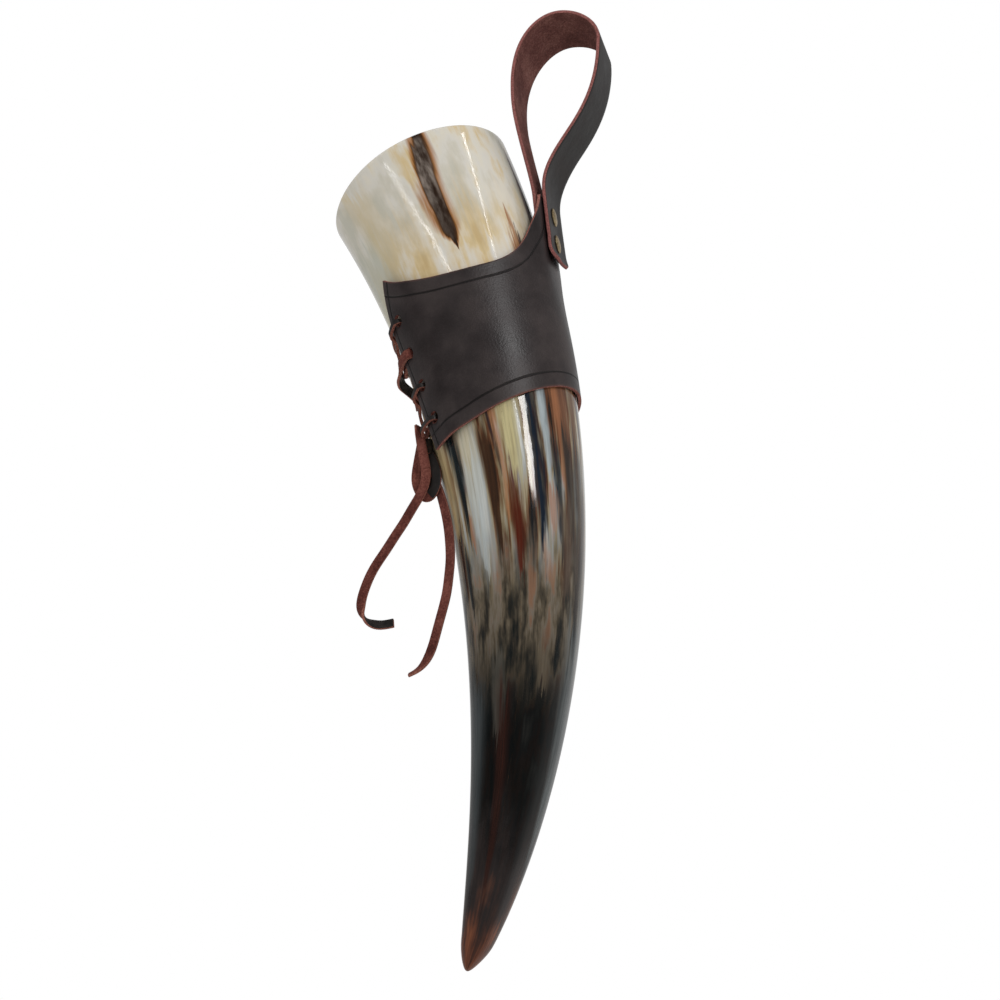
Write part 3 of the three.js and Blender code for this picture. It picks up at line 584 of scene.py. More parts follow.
def sleeve_grain_finish():
    finish, tree = new_finish("sleeve_grain_side")
    place = object_place(tree)
    tone = grain(place, 45, 5)
    colour = ramp(tone, [(0.1, "241e1e"), (0.5, "2e2727"), (0.9, "3a3231")])
    grooves = None
    for edge, gap in TOOLED_LINES:
        away = tree.node("ShaderNodeAttribute", {"attribute_name": edge}, {}, "Fac")
        groove = 1 - between(abs(away - gap), *LINE_WIDTH)
        worn = 1 - between(away, *WORN_WIDTH)
        colour = mixed(worn * 0.5 * tone, colour, paint("6a453d"))
        colour = mixed(groove * 0.75, colour, paint("080605"))
        grooves = groove if grooves is None else grooves.maths("MAXIMUM", grooves, groove)
    relief = bumped(pores(place, 1500), 0.05 * MM)
    relief = bumped(grain(place, 130, 4), 0.03 * MM, relief)
    relief = bumped(1 - grooves, LINE_DEPTH, relief)
    rough = 0.36 + tone * 0.12 + grooves * 0.15
    return surface(finish, Base_Color=colour, Roughness=rough, Normal=relief, Specular_IOR_Level=0.42)


def flesh_finish(name, dark, plain, light):
    """The suede-like flesh side of a hide, with its short nap."""
    finish, tree = new_finish(name)
    place = object_place(tree)
    nap = grain(place, 1100, 5, 0.7)
    clouds = grain(place, 90, 4)
    colour = ramp(nap * 0.55 + clouds * 0.45, [(0.15, dark), (0.5, plain), (0.85, light)])
    relief = bumped(nap, 0.15 * MM)
    return surface(finish, Base_Color=colour, Roughness=0.95, Normal=relief, Specular_IOR_Level=0.15)


def cut_edge_finish(name, dark, light):
    """The raw cut edge of a hide, its fibres paler than either side."""
    finish, tree = new_finish(name)
    place = object_place(tree)
    fibre = grain(place, 1600, 4, 0.65)
    colour = ramp(fibre, [(0.15, dark), (0.85, light)])
    return surface(finish, Base_Color=colour, Roughness=0.85, Normal=bumped(fibre, 0.1 * MM),
                   Specular_IOR_Level=0.2)


sheet_flesh = flesh_finish("sleeve_flesh_side", "3a211d", "50302a", "6a443b")
sheet_edge = cut_edge_finish("sleeve_cut_edge", "70423b", "9f6a60")
sleeve_shape = bmesh.new()
bmesh.ops.create_grid(sleeve_shape, x_segments=SLEEVE_COLUMNS, y_segments=SLEEVE_ROWS, size=1)
edge_points = {edge: [] for edge, _ in TOOLED_LINES}
for vert in sleeve_shape.verts:
    column, row = vert.co.x, (1 - vert.co.y) / 2
    vert.co = sleeve_point(*sleeve_place(column, row), 0)
    if row < 1e-6:
        edge_points["from_top"].append(vert.co.copy())
    if row > 1 - 1e-6:
        edge_points["from_bottom"].append(vert.co.copy())
    if abs(column) > 1 - 1e-6:
        edge_points["from_lacing"].append(vert.co.copy())
for edge, points in edge_points.items():
    layer = sleeve_shape.verts.layers.float.new(edge)
    nearest = KDTree(len(points))
    for i, point in enumerate(points):
        nearest.insert(point, i)
    nearest.balance()
    for vert in sleeve_shape.verts:
        vert[layer] = nearest.find(vert.co)[2]
core = along_horn((SLEEVE_TOP + SLEEVE_BOTTOM) / 2, 0, 0)
face = sleeve_shape.faces[:][len(sleeve_shape.faces) // 2]
face.normal_update()
if face.normal.dot(face.calc_center_median() - core) < 0:
    bmesh.ops.reverse_faces(sleeve_shape, faces=sleeve_shape.faces)
sleeve = placed("sleeve_leather", sleeve_shape, [sleeve_grain_finish(), sheet_flesh, sheet_edge])
thickened(sleeve, LEATHER, 1, LEATHER_EDGE)
lace_holes = []
for distance in HOLE_DISTANCES:
    for side in (-1, 1):
        centre = lacing_point(side * hole_angle(distance), distance, LACE_ROOM + LEATHER / 2)
        lace_holes.append((centre, (centre - along_horn(distance, 0, 0)).normalized()))
punched(sleeve, lace_holes, HOLE_RADIUS, PUNCH_DEPTH)
punched(sleeve, RIVET_AXES, STEM_HOLE, PUNCH_DEPTH)
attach(sleeve, "holster")
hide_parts("holster_sleeve")

# Belt strap: one strip of the same leather folded over into a loop, grain side out, its two ends on
# either side of the sleeve's tab. The belt runs through the loop.
STRAP_WIDTH = 26 * MM
INNER_LEG_END = 56.5 * MM
OUTER_LEG_END = 62 * MM
OUTER_END_FLARE = 1.6 * MM
END_SKEW = 2.3 * MM
END_RUN = 8 * MM
STRAP_END_ROUND = 4.5 * MM
LOOP_INNER = Vector((-11.8, 0, 55.6)) * MM
LOOP_TOP = Vector((9.2, 0, 85.2)) * MM
LOOP_OUTER = Vector((26.3, 0, 71.5)) * MM
RIVET_RADIUS = 4 * MM
STRAP_LEAN = [(0.3, 0), (0.46, -1.7), (0.6, 0.2), (0.76, 0), (0.86, 0.5), (0.96, 0.6), (1, 1.4)]
STRAP_CUP = [(0.25, 1.1), (0.36, 0), (0.76, 0), (0.84, 0.5)]
STRAP_STEP = 0.5 * MM
STRAP_COLUMNS = 12
STRAP_PUNCH = 24 * LEATHER
LEG_STEPS = 24
LOOP_STEPS = 60
LOOP_ROUND = 0.54
INNER_EASE = 0.2, 0.32
OUTER_EASE = 0.57, 0.33
FLARE_START = LOWER_RIVET + RIVET_RADIUS
END_FLARE = OUTER_END_FLARE / (OUTER_LEG_END - FLARE_START) ** 2


def eased(stops, share):
    """The value at a share of the length, eased between stops of share and value."""
    value = stops[0][1]
    for (low, first), (high, second) in zip(stops, stops[1:]):
        value += (second - first) * ease(share, low, high)
    return value


def strap_leg(side, end, flare):
    """One leg beside the tab, from the tab's top to the strap's end."""
    leg = []
    for i in range(LEG_STEPS + 1):
        distance = lerp(TAB_TOP, end, i / LEG_STEPS)
        beyond = max(0, distance - FLARE_START)
        out = tab_middle(distance) + side * (LEATHER + LAYER_GAP) + flare * beyond ** 2
        leg.append(along_horn(distance, out, 0))
    return leg


def strap_line():
    """The strap's middle line: up the inner leg, round the loop and down the outer leg."""
    inner = strap_leg(-1, INNER_LEG_END, 0)[::-1]
    outer = strap_leg(1, OUTER_LEG_END, END_FLARE)
    tab_top = along_horn(TAB_TOP, tab_middle(TAB_TOP), 0)
    bulge, crown, shoulder = tab_top + LOOP_INNER, tab_top + LOOP_TOP, tab_top + LOOP_OUTER
    start, end = inner[-1], outer[0]
    up = (start - inner[-2]).normalized()
    down = (outer[1] - end).normalized()
    rise = bulge.z - start.z
    fall = shoulder.z - end.z
    lift, side = Vector((0, 0, 1)), Vector((1, 0, 0))
    curves = [
        (start, start + up * rise * INNER_EASE[0], bulge - lift * rise * INNER_EASE[1], bulge),
        (bulge, bulge + lift * (crown.z - bulge.z) * LOOP_ROUND,
         crown - side * (crown.x - bulge.x) * LOOP_ROUND, crown),
        (crown, crown + side * (shoulder.x - crown.x) * LOOP_ROUND,
         shoulder + lift * (crown.z - shoulder.z) * LOOP_ROUND, shoulder),
        (shoulder, shoulder - lift * fall * OUTER_EASE[0], end - down * fall * OUTER_EASE[1], end),
    ]
    loop = [point for curve in curves for point in interpolate_bezier(*curve, LOOP_STEPS)[1:]]
    return inner + loop + outer[1:]


def evenly(line, step):
    """The line's points again, so far apart along it."""
    run = [0]
    for first, second in zip(line, line[1:]):
        run.append(run[-1] + (second - first).length)
    count = max(2, round(run[-1] / step))
    points, at = [], 0
    for i in range(count + 1):
        target = run[-1] * i / count
        while at < len(run) - 2 and run[at + 1] < target:
            at += 1
        share = (target - run[at]) / (run[at + 1] - run[at])
        points.append(line[at].lerp(line[at + 1], share))
    return points


def run_at(route, i):
    """The direction of a route at one of its points."""
    return (route[min(i + 1, len(route) - 1)] - route[max(i - 1, 0)]).normalized()


def strip(name, rows, columns, finishes, over=()):
    """A flat strip of leather. Each row gives its centre, its half width and how far its edges cup. It is
    turned over in the rows named."""
    shape = bmesh.new()
    last = len(rows) - 1
    bmesh.ops.create_grid(shape, x_segments=last, y_segments=columns, size=1)
    for face in shape.faces:
        if int((face.calc_center_median().x + 1) / 2 * last) in over:
            face.material_index = 3
    for vert in shape.verts:
        centre, half, cup = rows[round((vert.co.x + 1) / 2 * last)]
        across = vert.co.y
        vert.co = centre + half * across + cup * across ** 2
    return placed(name, shape, finishes)


def strap_grain_finish():
    finish, tree = new_finish("strap_grain_side")
    place = object_place(tree)
    tone = grain(place, 60, 5)
    colour = ramp(tone, [(0.1, "171312"), (0.5, "1e1918"), (0.9, "26201f")])
    relief = bumped(pores(place, 1500), 0.03 * MM)
    relief = bumped(grain(place, 150, 4), 0.08 * MM, relief)
    return surface(finish, Base_Color=colour, Roughness=0.45 + tone * 0.12, Normal=relief,
                   Specular_IOR_Level=0.28)


strap_points = evenly(strap_line(), STRAP_STEP)
strap_last = len(strap_points) - 1
strap_rows = []
for i, point in enumerate(strap_points):
    run = run_at(strap_points, i)
    outwards = Vector((-run.z, 0, run.x))
    to_end = min(i, strap_last - i) * STRAP_STEP
    short = max(0, STRAP_END_ROUND - to_end)
    half = STRAP_WIDTH / 2 - STRAP_END_ROUND + math.sqrt(STRAP_END_ROUND ** 2 - short ** 2)
    share = i / strap_last
    at_end = 1 - ease((1 - share) * strap_last * STRAP_STEP, 0, END_RUN)
    tilt = outwards * eased(STRAP_LEAN, share) * MM - run * END_SKEW * at_end
    across = Vector((0, 1, 0)) + tilt / (STRAP_WIDTH / 2)
    strap_rows.append((point, across * half, outwards * eased(STRAP_CUP, share) * MM))
strap_finishes = [
    strap_grain_finish(),
    flesh_finish("strap_flesh_side", "52322d", "6c4540", "886057"),
    cut_edge_finish("strap_cut_edge", "6d423e", "965f5a"),
]
strap = strip("strap_leather", strap_rows, STRAP_COLUMNS, strap_finishes)
thickened(strap, LEATHER, 0, LEATHER_EDGE)
punched(strap, RIVET_AXES, STEM_HOLE, STRAP_PUNCH)
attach(strap, "holster")
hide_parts("belt_strap")

# Rivets: two double-cap rivets of antique brass, set through the strap, the tab and the strap again.
# Each is a post with a flat inner head and a domed cap pressed onto it.
CAP_HEIGHT = 1.15 * MM
CAP_EDGE = 0.2
CAP_SEAT = 0.97
CAP_STEPS = 12
HEAD_CURVE = ((0.7, 0.9), (0.9, 0.7), (1, 0.4))
RIVET_SIDES = 48
SOCKET_DEPTH = 0.6 * MM
STEM_RADIUS = 1.4 * MM
STEM_FIT = 0.3 * MM
RIVET_STACK = 3 * LEATHER + 2 * LAYER_GAP


def brass_finish():
    finish, tree = new_finish("antique_brass")
    place = object_place(tree)
    patina = grain(place, 900, 5, 0.65)
    rubbed = grain(place, 300, 3)
    colour = ramp(patina * 0.6 + rubbed * 0.4, [(0.2, "7b6a4e"), (0.5, "a38e69"), (0.8, "c3b18c")])
    relief = bumped(patina, 0.04 * MM)
    return surface(finish, Base_Color=colour, Metallic=0.75, Roughness=0.34 + patina * 0.2, Normal=relief)


def turned(name, outline, axis):
    """A piece turned from its half outline of radius and height, set on a rivet's axis."""
    centre, out = axis
    shape = bmesh.new()
    outline = [shape.verts.new((radius, 0, height)) for radius, height in outline]
    outline += [shape.edges.new(pair) for pair in zip(outline, outline[1:])]
    bmesh.ops.spin(shape, geom=outline, axis=(0, 0, 1), cent=(0, 0, 0), angle=2 * math.pi,
                   steps=RIVET_SIDES, use_merge=True)
    bmesh.ops.remove_doubles(shape, verts=shape.verts, dist=WELD)
    bmesh.ops.recalc_face_normals(shape, faces=shape.faces)
    base = Matrix.Translation(centre - out * RIVET_STACK / 2)
    stood = out.to_track_quat("Z", "Y").to_matrix().to_4x4()
    bmesh.ops.transform(shape, verts=shape.verts, matrix=base @ stood)
    piece = placed(name, shape, [brass])
    piece.data.set_sharp_from_angle(angle=SHARP_ANGLE)
    return piece


brass = brass_finish()
inner_face = -RIVET_FIT
outer_face = RIVET_STACK
socket_top = outer_face + SOCKET_DEPTH
stem_top = socket_top - STEM_FIT
post_outline = [(0, inner_face - INNER_HEAD)]
post_outline += [(RIVET_RADIUS * r, inner_face - INNER_HEAD * h) for r, h in HEAD_CURVE]
post_outline += [(RIVET_RADIUS, inner_face), (STEM_RADIUS, inner_face)]
post_outline += [(STEM_RADIUS, stem_top), (0, stem_top)]
cap_socket = STEM_RADIUS + STEM_FIT
cap_outline = [(0, socket_top), (cap_socket, socket_top), (cap_socket, outer_face)]
cap_outline += [(RIVET_RADIUS * CAP_SEAT, outer_face)]
for i in range(CAP_STEPS + 1):
    turn = math.pi / 2 * i / CAP_STEPS
    height = CAP_HEIGHT * lerp(CAP_EDGE, 1, math.sin(turn))
    cap_outline.append((RIVET_RADIUS * math.cos(turn), outer_face + height))
for name, axis in zip(("upper", "lower"), RIVET_AXES):
    for half, outline in (("post", post_outline), ("cap", cap_outline)):
        rivet = turned(f"{name}_rivet_{half}_brass", outline, axis)
        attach(rivet, "holster")
        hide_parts(f"{name}_rivet_{half}")

# Lacing: a flat thong cut from the same hide, black on its grain side and red-brown on its flesh side.
# It is laced crosswise through the punched holes from the top pair down, with one loose front strand.
SLACK_ROW = 1
SLACK_DIP = 1.2 * MM
SLACK_TURNS = [(0.12, 0), (0.38, 45), (0.56, 45), (0.72, 0)]
KNOT_DISTANCE = 131.5 * MM
KNOT_ANGLE = math.radians(-20.6)
KNOT_STANDOFF = 3.5 * MM
KNOT_HEIGHT = 4 * MM
KNOT_LEAD = 1.5 * MM
JOIN_GAP = 0.3 * MM
LANE_IN = LACE_ROOM / 2
LANE_OVER = LANE_IN + LACE_THICKNESS + LACE_FIT
LANE_OUT = LACE_ROOM + LEATHER + LACE_FIT + LACE_THICKNESS / 2
TURN_RADIUS = (LANE_OUT - LANE_IN) / 2
TURN_STEPS = 12
STRAND_STEPS = 36
BAR_STEPS = 14
BAR_ROW = -1
LAST_ROW = HOLE_ROWS - 1
TIGHT_ROWS = (BAR_ROW, 0, 2)
TIGHT_WIDTH = 0.46
LACE_COLUMNS = 4
LACE_EDGE = 0.3 * MM

# Where a strand dives under the edge or lies down past a crossing, in shares of its length.
DIVE = 0.1, 0.23
DIVE_OVER = 0.12, 0.3
LIE_DOWN = 0.45, 0.56
SLACK_DIVE = 0.5, 0.68
SLACK_LIE_DOWN = 0.76, 0.87
TO_KNOT = 0.36, 0.8


def hole_turn(row, side):
    """The thong's turn up through a hole, as angle, distance and height off the horn."""
    distance = HOLE_DISTANCES[row]
    reach = horn_radius(distance) + LACE_ROOM
    stations = []
    for step in range(TURN_STEPS + 1):
        turn = math.pi * step / TURN_STEPS
        angle = hole_angle(distance) - TURN_RADIUS * (1 - math.sin(turn)) / reach
        stations.append((side * angle, distance, LANE_IN + TURN_RADIUS * (1 - math.cos(turn))))
    return stations


def cross_strand(row, side):
    """A strand from the outside of one hole, under the other edge to the next hole."""
    start, end = hole_turn(row, side)[-1], hole_turn(row + 1, -side)[0]
    stations = []
    for step in range(1, STRAND_STEPS):
        share = step / STRAND_STEPS
        out, fall = lerp(LANE_OUT, LANE_IN, ease(share, *DIVE)), share
        if side > 0:
            fall = ease(share, 0, 0.7)
            if row != SLACK_ROW:
                lifted = lerp(LANE_OVER, LANE_IN, ease(share, *LIE_DOWN))
                out = lerp(LANE_OUT, lifted, ease(share, *DIVE_OVER))
        elif row == SLACK_ROW:
            fall = ease(share, 0.5, 1)
            lifted = lerp(LANE_OVER, LANE_IN, ease(share, *SLACK_LIE_DOWN))
            out = lerp(LANE_OUT, lifted, ease(share, *SLACK_DIVE))
            out -= SLACK_DIP * math.sin(math.pi * ease(share, 0, 0.6))
        stations.append((lerp(start[0], end[0], share), lerp(start[1], end[1], fall), out))
    return stations


def lacing_half(side):
    """Half of the lacing, from the bar inside the top pair of holes down to its last hole."""
    bar = hole_turn(0, side)[0][0]
    stations = [(bar * step / BAR_STEPS, HOLE_DISTANCES[0], LANE_IN, BAR_ROW) for step in range(BAR_STEPS)]
    for row in range(HOLE_ROWS):
        here = side if row % 2 == 0 else -side
        strand = hole_turn(row, here)
        if row < LAST_ROW:
            strand += cross_strand(row, here)
        stations += [station + (row,) for station in strand]
    return stations


def knot_strand(side):
    """The strand from the outside of a last hole to the top of the knot."""
    angle, start, out = hole_turn(LAST_ROW, side)[-1]
    end = KNOT_DISTANCE - KNOT_HEIGHT / 2 - JOIN_GAP
    end_out = KNOT_STANDOFF + side * (LACE_THICKNESS + LACE_FIT) / 2
    stations = []
    for step in range(1, STRAND_STEPS + 1):
        share = step / STRAND_STEPS
        swing, fall = math.sin(math.pi / 2 * share), 1 - math.cos(math.pi / 2 * share)
        stations.append((lerp(angle, KNOT_ANGLE, swing), lerp(start, end - KNOT_LEAD, fall),
                         lerp(out, end_out, ease(share, *TO_KNOT)), LAST_ROW))
    return stations + [(KNOT_ANGLE, end, end_out, LAST_ROW)]


def down_horn(distance):
    turn = MOUTH_TILT - distance / BEND_RADIUS
    return Vector((math.sin(turn), 0, -math.cos(turn)))


def lace_rows(route, across, drawn=None):
    """Rows of a thong along a route, its width laid along the given directions and drawn narrower."""
    rows = []
    for i, point in enumerate(route):
        run = run_at(route, i)
        width = (across[i] - run * across[i].dot(run)).normalized()
        rows.append((point, width * LACE_WIDTH / 2 * (drawn[i] if drawn else 1), Vector()))
    return rows


def thong(name, rows, over=()):
    """A stretch of the lace, turned over in the rows named."""
    return thickened(strip(name, rows, LACE_COLUMNS, lace_finishes, over), LACE_THICKNESS, 0, LACE_EDGE)


def lace_grain_finish():
    finish, tree = new_finish("lace_grain_side")
    place = object_place(tree)
    tone = grain(place, 200, 4)
    colour = ramp(tone, [(0.1, "191716"), (0.9, "2c2725")])
    relief = bumped(pores(place, 1800), 0.03 * MM)
    return surface(finish, Base_Color=colour, Roughness=0.5, Normal=relief, Specular_IOR_Level=0.4)


lace_finishes = [
    lace_grain_finish(),
    flesh_finish("lace_flesh_side", "42211c", "5e332c", "7a4a40"),
    cut_edge_finish("lace_cut_edge", "6b3d33", "9a6658"),
]
lace_finishes += [lace_finishes[1], lace_finishes[0], lace_finishes[2]]
front = lacing_half(-1)
back = lacing_half(1)
to_knot_front, to_knot_back = knot_strand(1), knot_strand(-1)
stations = (front + to_knot_front)[::-1] + (back + to_knot_back)[1:]
lacing_route = [lacing_point(*station[:3]) for station in stations]
lacing_across, lacing_drawn, turned_over = [], [], set()
front_count = len(front) + len(to_knot_front)
slack_start = front_count + BAR_STEPS + STRAND_STEPS + 2 * TURN_STEPS
for i, (angle, distance, out, row) in enumerate(stations):
    run = run_at(lacing_route, i)
    in_front = i < front_count
    if len(to_knot_front) <= i < len(stations) - len(to_knot_back):
        across = down_horn(distance)
    else:
        across = (lacing_route[i] - along_horn(distance, 0, 0)).cross(run)
    twist = math.radians(eased(SLACK_TURNS, (i - slack_start) / STRAND_STEPS))
    lacing_across.append(Matrix.Rotation(twist, 3, run) @ across)
    tight = row in TIGHT_ROWS or (row == LAST_ROW and not in_front)
    lacing_drawn.append(TIGHT_WIDTH if tight else 1)
    if row == SLACK_ROW or (in_front and row != BAR_ROW):
        turned_over.add(i)
lacing = thong("lacing_thong", lace_rows(lacing_route, lacing_across, lacing_drawn), turned_over)
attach(lacing, "holster")
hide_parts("lacing")

# Knot: the two ends of the thong are tied under the last holes. A wrap holds the strands, a bight
# hangs under it with two folds behind, and a leaf-shaped stretch lies over them and runs into the
# left tail. The folds show their black grain side and fill the shaded hollow inside the bight, in
# part as painted shade.
KNOT_CENTRE = lacing_point(KNOT_ANGLE, KNOT_DISTANCE, KNOT_STANDOFF)
WRAP_RADIUS = 2.2 * MM
WRAP_RISE = 5 * MM
WRAP_TURN = -60, 600
WRAP_SPREAD = 0.12
WRAP_STEPS = 48
KNOT_STEP = 0.5 * MM
CURVE_STEPS = 12
SMOOTH_PASSES = 28
BIGHT = [
    (1.6, -1.6, -0.8), (4.0, -2.3, -5.6), (5.2, -2.6, -11.0), (4.1, -2.3, -16.8), (0.9, -1.7, -20.2),
    (-2.5, -1.4, -17.0), (-4.1, -1.2, -12.1), (-4.1, -1.0, -8.5), (-3.5, -0.9, -4.1), (-2.8, -0.7, 0.3),
    (-2.2, -0.5, 4.2),
]
BIGHT_GRAIN_ROWS = 40
# Painted shade, in part: two lace folds behind the bight, black grain side to the front, fill the dark hollow
# where the loop lies in shadow.
SHADE_FOLDS = [
    [(-0.4, 0.9, 2.0), (-0.7, 0.7, -4.0), (-0.8, 0.5, -9.0), (-0.6, 0.5, -14.0), (0.2, 0.7, -16.6)],
    [(0.8, 2.4, 2.0), (1.6, 2.2, -4.0), (2.6, 2.0, -9.0), (2.6, 2.0, -14.0), (1.8, 2.2, -16.6)],
]
LEAF = [
    (-3.4, -1.6, 12.3), (-2.2, -3.0, 7.9), (-1.3, -3.9, 3.0), (-0.3, -4.2, -1.6), (0.6, -4.5, -6.2),
    (0.95, -4.7, -8.0),
]
LEAF_TURNS = [(0, -65), (0.4, 0)]


def smooth_route(points, step):
    """A smooth line through points given in mm from the knot's centre."""
    places = [KNOT_CENTRE + Vector(point) * MM for point in points]
    line = [places[0]]
    for i in range(len(places) - 1):
        first, second = places[i], places[i + 1]
        lead = (second - places[max(i - 1, 0)]) / 6
        tail = (places[min(i + 2, len(places) - 1)] - first) / 6
        line += interpolate_bezier(first, first + lead, second - tail, second, CURVE_STEPS)[1:]
    line = evenly(line, step)
    for _ in range(SMOOTH_PASSES):
        inner = [(a + b * 2 + c) / 4 for a, b, c in zip(line, line[1:], line[2:])]
        line = [line[0]] + inner + [line[-1]]
    return line


def free_rows(route, turns=((0, 0),)):
    """Rows of a free thong, flesh side to the front, turned by angles at shares of its length."""
    across = []
    for i in range(len(route)):
        run = run_at(route, i)
        angle = math.radians(eased(turns, i / (len(route) - 1)))
        across.append(Matrix.Rotation(angle, 3, run) @ run.cross(Vector((0, -1, 0))).normalized())
    return lace_rows(route, across)


up_horn = -down_horn(KNOT_DISTANCE)
side_axis = up_horn.cross(Vector((0, 1, 0))).normalized()
front_axis = up_horn.cross(side_axis)
wrap_route = []
for step in range(WRAP_STEPS + 1):
    share = step / WRAP_STEPS
    turn = math.radians(lerp(*WRAP_TURN, share))
    ring = side_axis * math.cos(turn) + front_axis * math.sin(turn)
    reach = WRAP_RADIUS * (1 + WRAP_SPREAD * share)
    wrap_route.append(KNOT_CENTRE + ring * reach + up_horn * WRAP_RISE * share)
wrap = thong("knot_wrap", lace_rows(wrap_route, [up_horn] * len(wrap_route)))
bight = thong("knot_bight", free_rows(smooth_route(BIGHT, KNOT_STEP)), range(BIGHT_GRAIN_ROWS))
shade_folds = []
for side, points in zip(("left", "right"), SHADE_FOLDS):
    fold_rows = free_rows(smooth_route(points, KNOT_STEP))
    shade_folds.append(thong(f"knot_shade_fold_{side}", fold_rows, range(len(fold_rows))))
leaf = thong("knot_leaf", free_rows(smooth_route(LEAF, KNOT_STEP), LEAF_TURNS))
for knot in (wrap, bight, *shade_folds, leaf):
    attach(knot, "holster")
    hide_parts("lace_knot")

# Lace tails: the thong's two free ends hang from the knot. The left one curls at its end and shows
# its black grain side there; both are cut off bare.
LEFT_TAIL = [
    (0.95, -4.7, -8.0), (1.2, -4.9, -9.6), (1.25, -5.3, -13.1), (0.4, -5.4, -16.6), (-1.3, -5.2, -19.8),
    (-3.2, -5.0, -22.7), (-5.3, -4.5, -25.6), (-8.6, -3.4, -30.6), (-12.6, -2.3, -35.4), (-15.9, -1.6, -40.2),
    (-19.4, -1.2, -44.8), (-22.7, -1.0, -49.8), (-24.9, -0.9, -54.8), (-26.6, -0.9, -59.8),
    (-27.5, -1.0, -64.9), (-26.6, -1.2, -68.6), (-23.9, -1.6, -71.4), (-20.0, -1.9, -73.4),
    (-16.1, -2.0, -73.2), (-12.6, -2.0, -72.6),
]
RIGHT_TAIL = [
    (0.2, 1.3, -2.5), (2.0, 1.2, -7.2), (4.1, 0.6, -12.2), (6.1, -0.4, -17.8), (7.9, -1.8, -23.2),
    (9.3, -2.2, -28.8), (10.4, -2.3, -35.2), (10.9, -1.9, -42.8), (10.9, -1.3, -47.8), (10.2, -0.8, -52.6),
    (9.6, -0.2, -57.6), (8.7, 0.1, -62.6), (7.3, 0.5, -67.4), (5.9, 0.6, -72.4), (4.5, 1.0, -77.2),
    (3.1, 1.1, -82.4), (1.0, 1.5, -87.4), (-2.9, 2.0, -92.2), (-7.3, 2.0, -93.9),
]
LEFT_TURNS = [(0.72, 0), (0.93, 165)]
RIGHT_TURNS = [(0, 48), (0.4, 12), (0.84, 12), (1, 62)]
TAIL_STEP = 0.8 * MM
for side, points, turns in (("left", LEFT_TAIL, LEFT_TURNS), ("right", RIGHT_TAIL, RIGHT_TURNS)):
    route = smooth_route(points, TAIL_STEP)
    length = sum((second - first).length for first, second in zip(route, route[1:]))
    tail = thong(f"tail_{side}_thong", free_rows(route, turns))
    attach(tail, "holster")
    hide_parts(f"lace_tail_{side}")

# Studio: the part hangs in front of white paper over a pale floor, lit by soft lamps and by one slim
# strip lamp on the right that draws the highlight down the polished horn.
FLOOR_HEIGHT = -0.75
FLOOR_REACH = 30
PAPER_LIGHT = 0.62
MIRRORED_LIGHT = 0.05
CAMERA_LENS = 87.09
CAMERA_PLACE = (0.19075, -0.92785, -0.54339)
CAMERA_TURN = Matrix(((0.97237, 0.07519, 0.22101), (0.23345, -0.3132, -0.92054), (0, 0.9467, -0.3221)))
MIDDLE = Vector((-0.045, 0, -0.2))
LAMP_DISTANCE = 1.3


def lamp(name, first, second, width, brightness, mirrored=True):
    """A flat lamp between two directions from the part, mirrored in the polish or not."""
    ends = [MIDDLE + Vector(way).normalized() * LAMP_DISTANCE for way in (first, second)]
    centre, along = (ends[0] + ends[1]) / 2, ends[1] - ends[0]
    data = bpy.data.lights.new(name, "AREA")
    data.shape = "RECTANGLE"
    data.size = width
    data.size_y = along.length
    data.energy = brightness * math.pi * width * along.length
    made = bpy.data.objects.new(name, data)
    back = (centre - MIDDLE).normalized()
    right = along.cross(back).normalized()
    faced = Matrix((right, back.cross(right), back)).transposed()
    made.matrix_world = Matrix.Translation(centre) @ faced.to_4x4()
    made.visible_glossy = mirrored
    bpy.context.scene.collection.objects.link(made)


lamp("slim_right", (0.57, -0.1, 0.82), (0.627, -0.501, 0.597), 0.012, 15)
lamp("window_right", (0.56, -0.66, 0.5), (0.629, -0.748, 0.215), 0.2, 18)
lamp("slim_middle", (0.43, -0.835, 0.34), (0.497, -0.819, 0.287), 0.013, 15)
lamp("slim_left", (-0.5, -0.82, 0.28), (-0.16, -0.935, 0.32), 0.012, 13)
lamp("soft_left", (-1, -0.35, 0.0), (-1, -0.35, 0.7), 0.9, 1.7, False)
lamp("soft_right", (1, 0.1, 0.0), (1, 0.1, 0.7), 0.9, 1.2, False)
lamp("soft_top", (-0.3, -0.25, 1), (0.3, -0.25, 1), 0.9, 1.6, False)

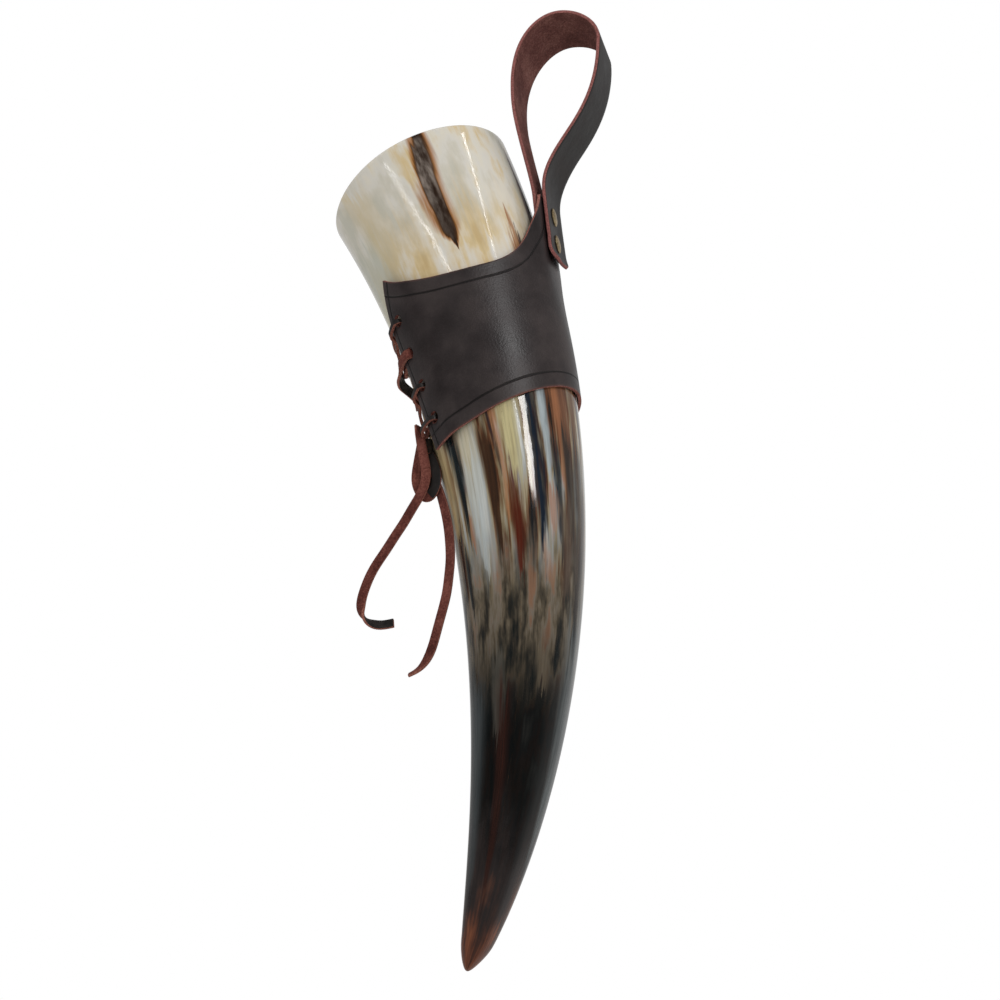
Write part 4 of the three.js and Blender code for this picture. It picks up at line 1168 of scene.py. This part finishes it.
world = bpy.data.worlds.new("white_paper")
world.use_nodes = True
bpy.context.scene.world = world
paper = Shade(world.node_tree)
rays = ("Camera", "Transmission", "Glossy")
seen, through, mirrored = (paper.node("ShaderNodeLightPath", {}, {}, f"Is {ray} Ray") for ray in rays)
facing = paper.node("ShaderNodeTexCoord", {}, {}, "Generated")
depth = paper.node("ShaderNodeSeparateXYZ", {}, {0: facing}, 1)
behind = between(depth, -0.5, 0.9) * 0.3 + between(depth, 0.7, 0.92) * 0.4
plain = seen.maths("MAXIMUM", seen, through)
glow = PAPER_LIGHT + mirrored * (behind + MIRRORED_LIGHT - PAPER_LIGHT)
background = world.node_tree.nodes["Background"]
background.inputs["Color"].default_value = (1, 1, 1, 1)
world.node_tree.links.new((glow + plain * (1 - glow)).socket, background.inputs["Strength"])

floor_finish, floor_tree = new_finish("pale_floor")
mottle = grain(object_place(floor_tree), 3, 3)
# Painted shade: in reflections only, the floor's near side turns dark grey, as if unlit, so the horn's front
# mirrors a dim floor.
floor_shine = floor_tree.node("ShaderNodeLightPath", {}, {}, "Is Glossy Ray")
spot = object_place(floor_tree)
floor_x, floor_y = (spot.node("ShaderNodeSeparateXYZ", {}, {0: spot}, i) for i in (0, 1))
painted_shade_side = 1 - between(floor_y / (floor_x * floor_x + floor_y * floor_y) ** 0.5, -0.5, 0.35)
plain_floor = ramp(mottle, [(0, "e6e5e2"), (1, "ecebe9")])
floor_colour = mixed(floor_shine * painted_shade_side, plain_floor, paint("3a3a3a"))
surface(floor_finish, Base_Color=floor_colour, Roughness=0.9)
floor_shape = bmesh.new()
bmesh.ops.create_grid(floor_shape, x_segments=8, y_segments=8, size=FLOOR_REACH,
                      matrix=Matrix.Translation((0, 0, FLOOR_HEIGHT)))
floor = placed("floor", floor_shape, [floor_finish])

camera = bpy.data.objects.new("camera", bpy.data.cameras.new("camera"))
camera.data.lens = CAMERA_LENS
camera.data.sensor_width = 36
camera.data.clip_end = 100
camera.matrix_world = Matrix.Translation(CAMERA_PLACE) @ CAMERA_TURN.to_4x4()
bpy.context.scene.collection.objects.link(camera)
bpy.context.scene.camera = camera
bpy.context.scene.view_settings.view_transform = "Standard"
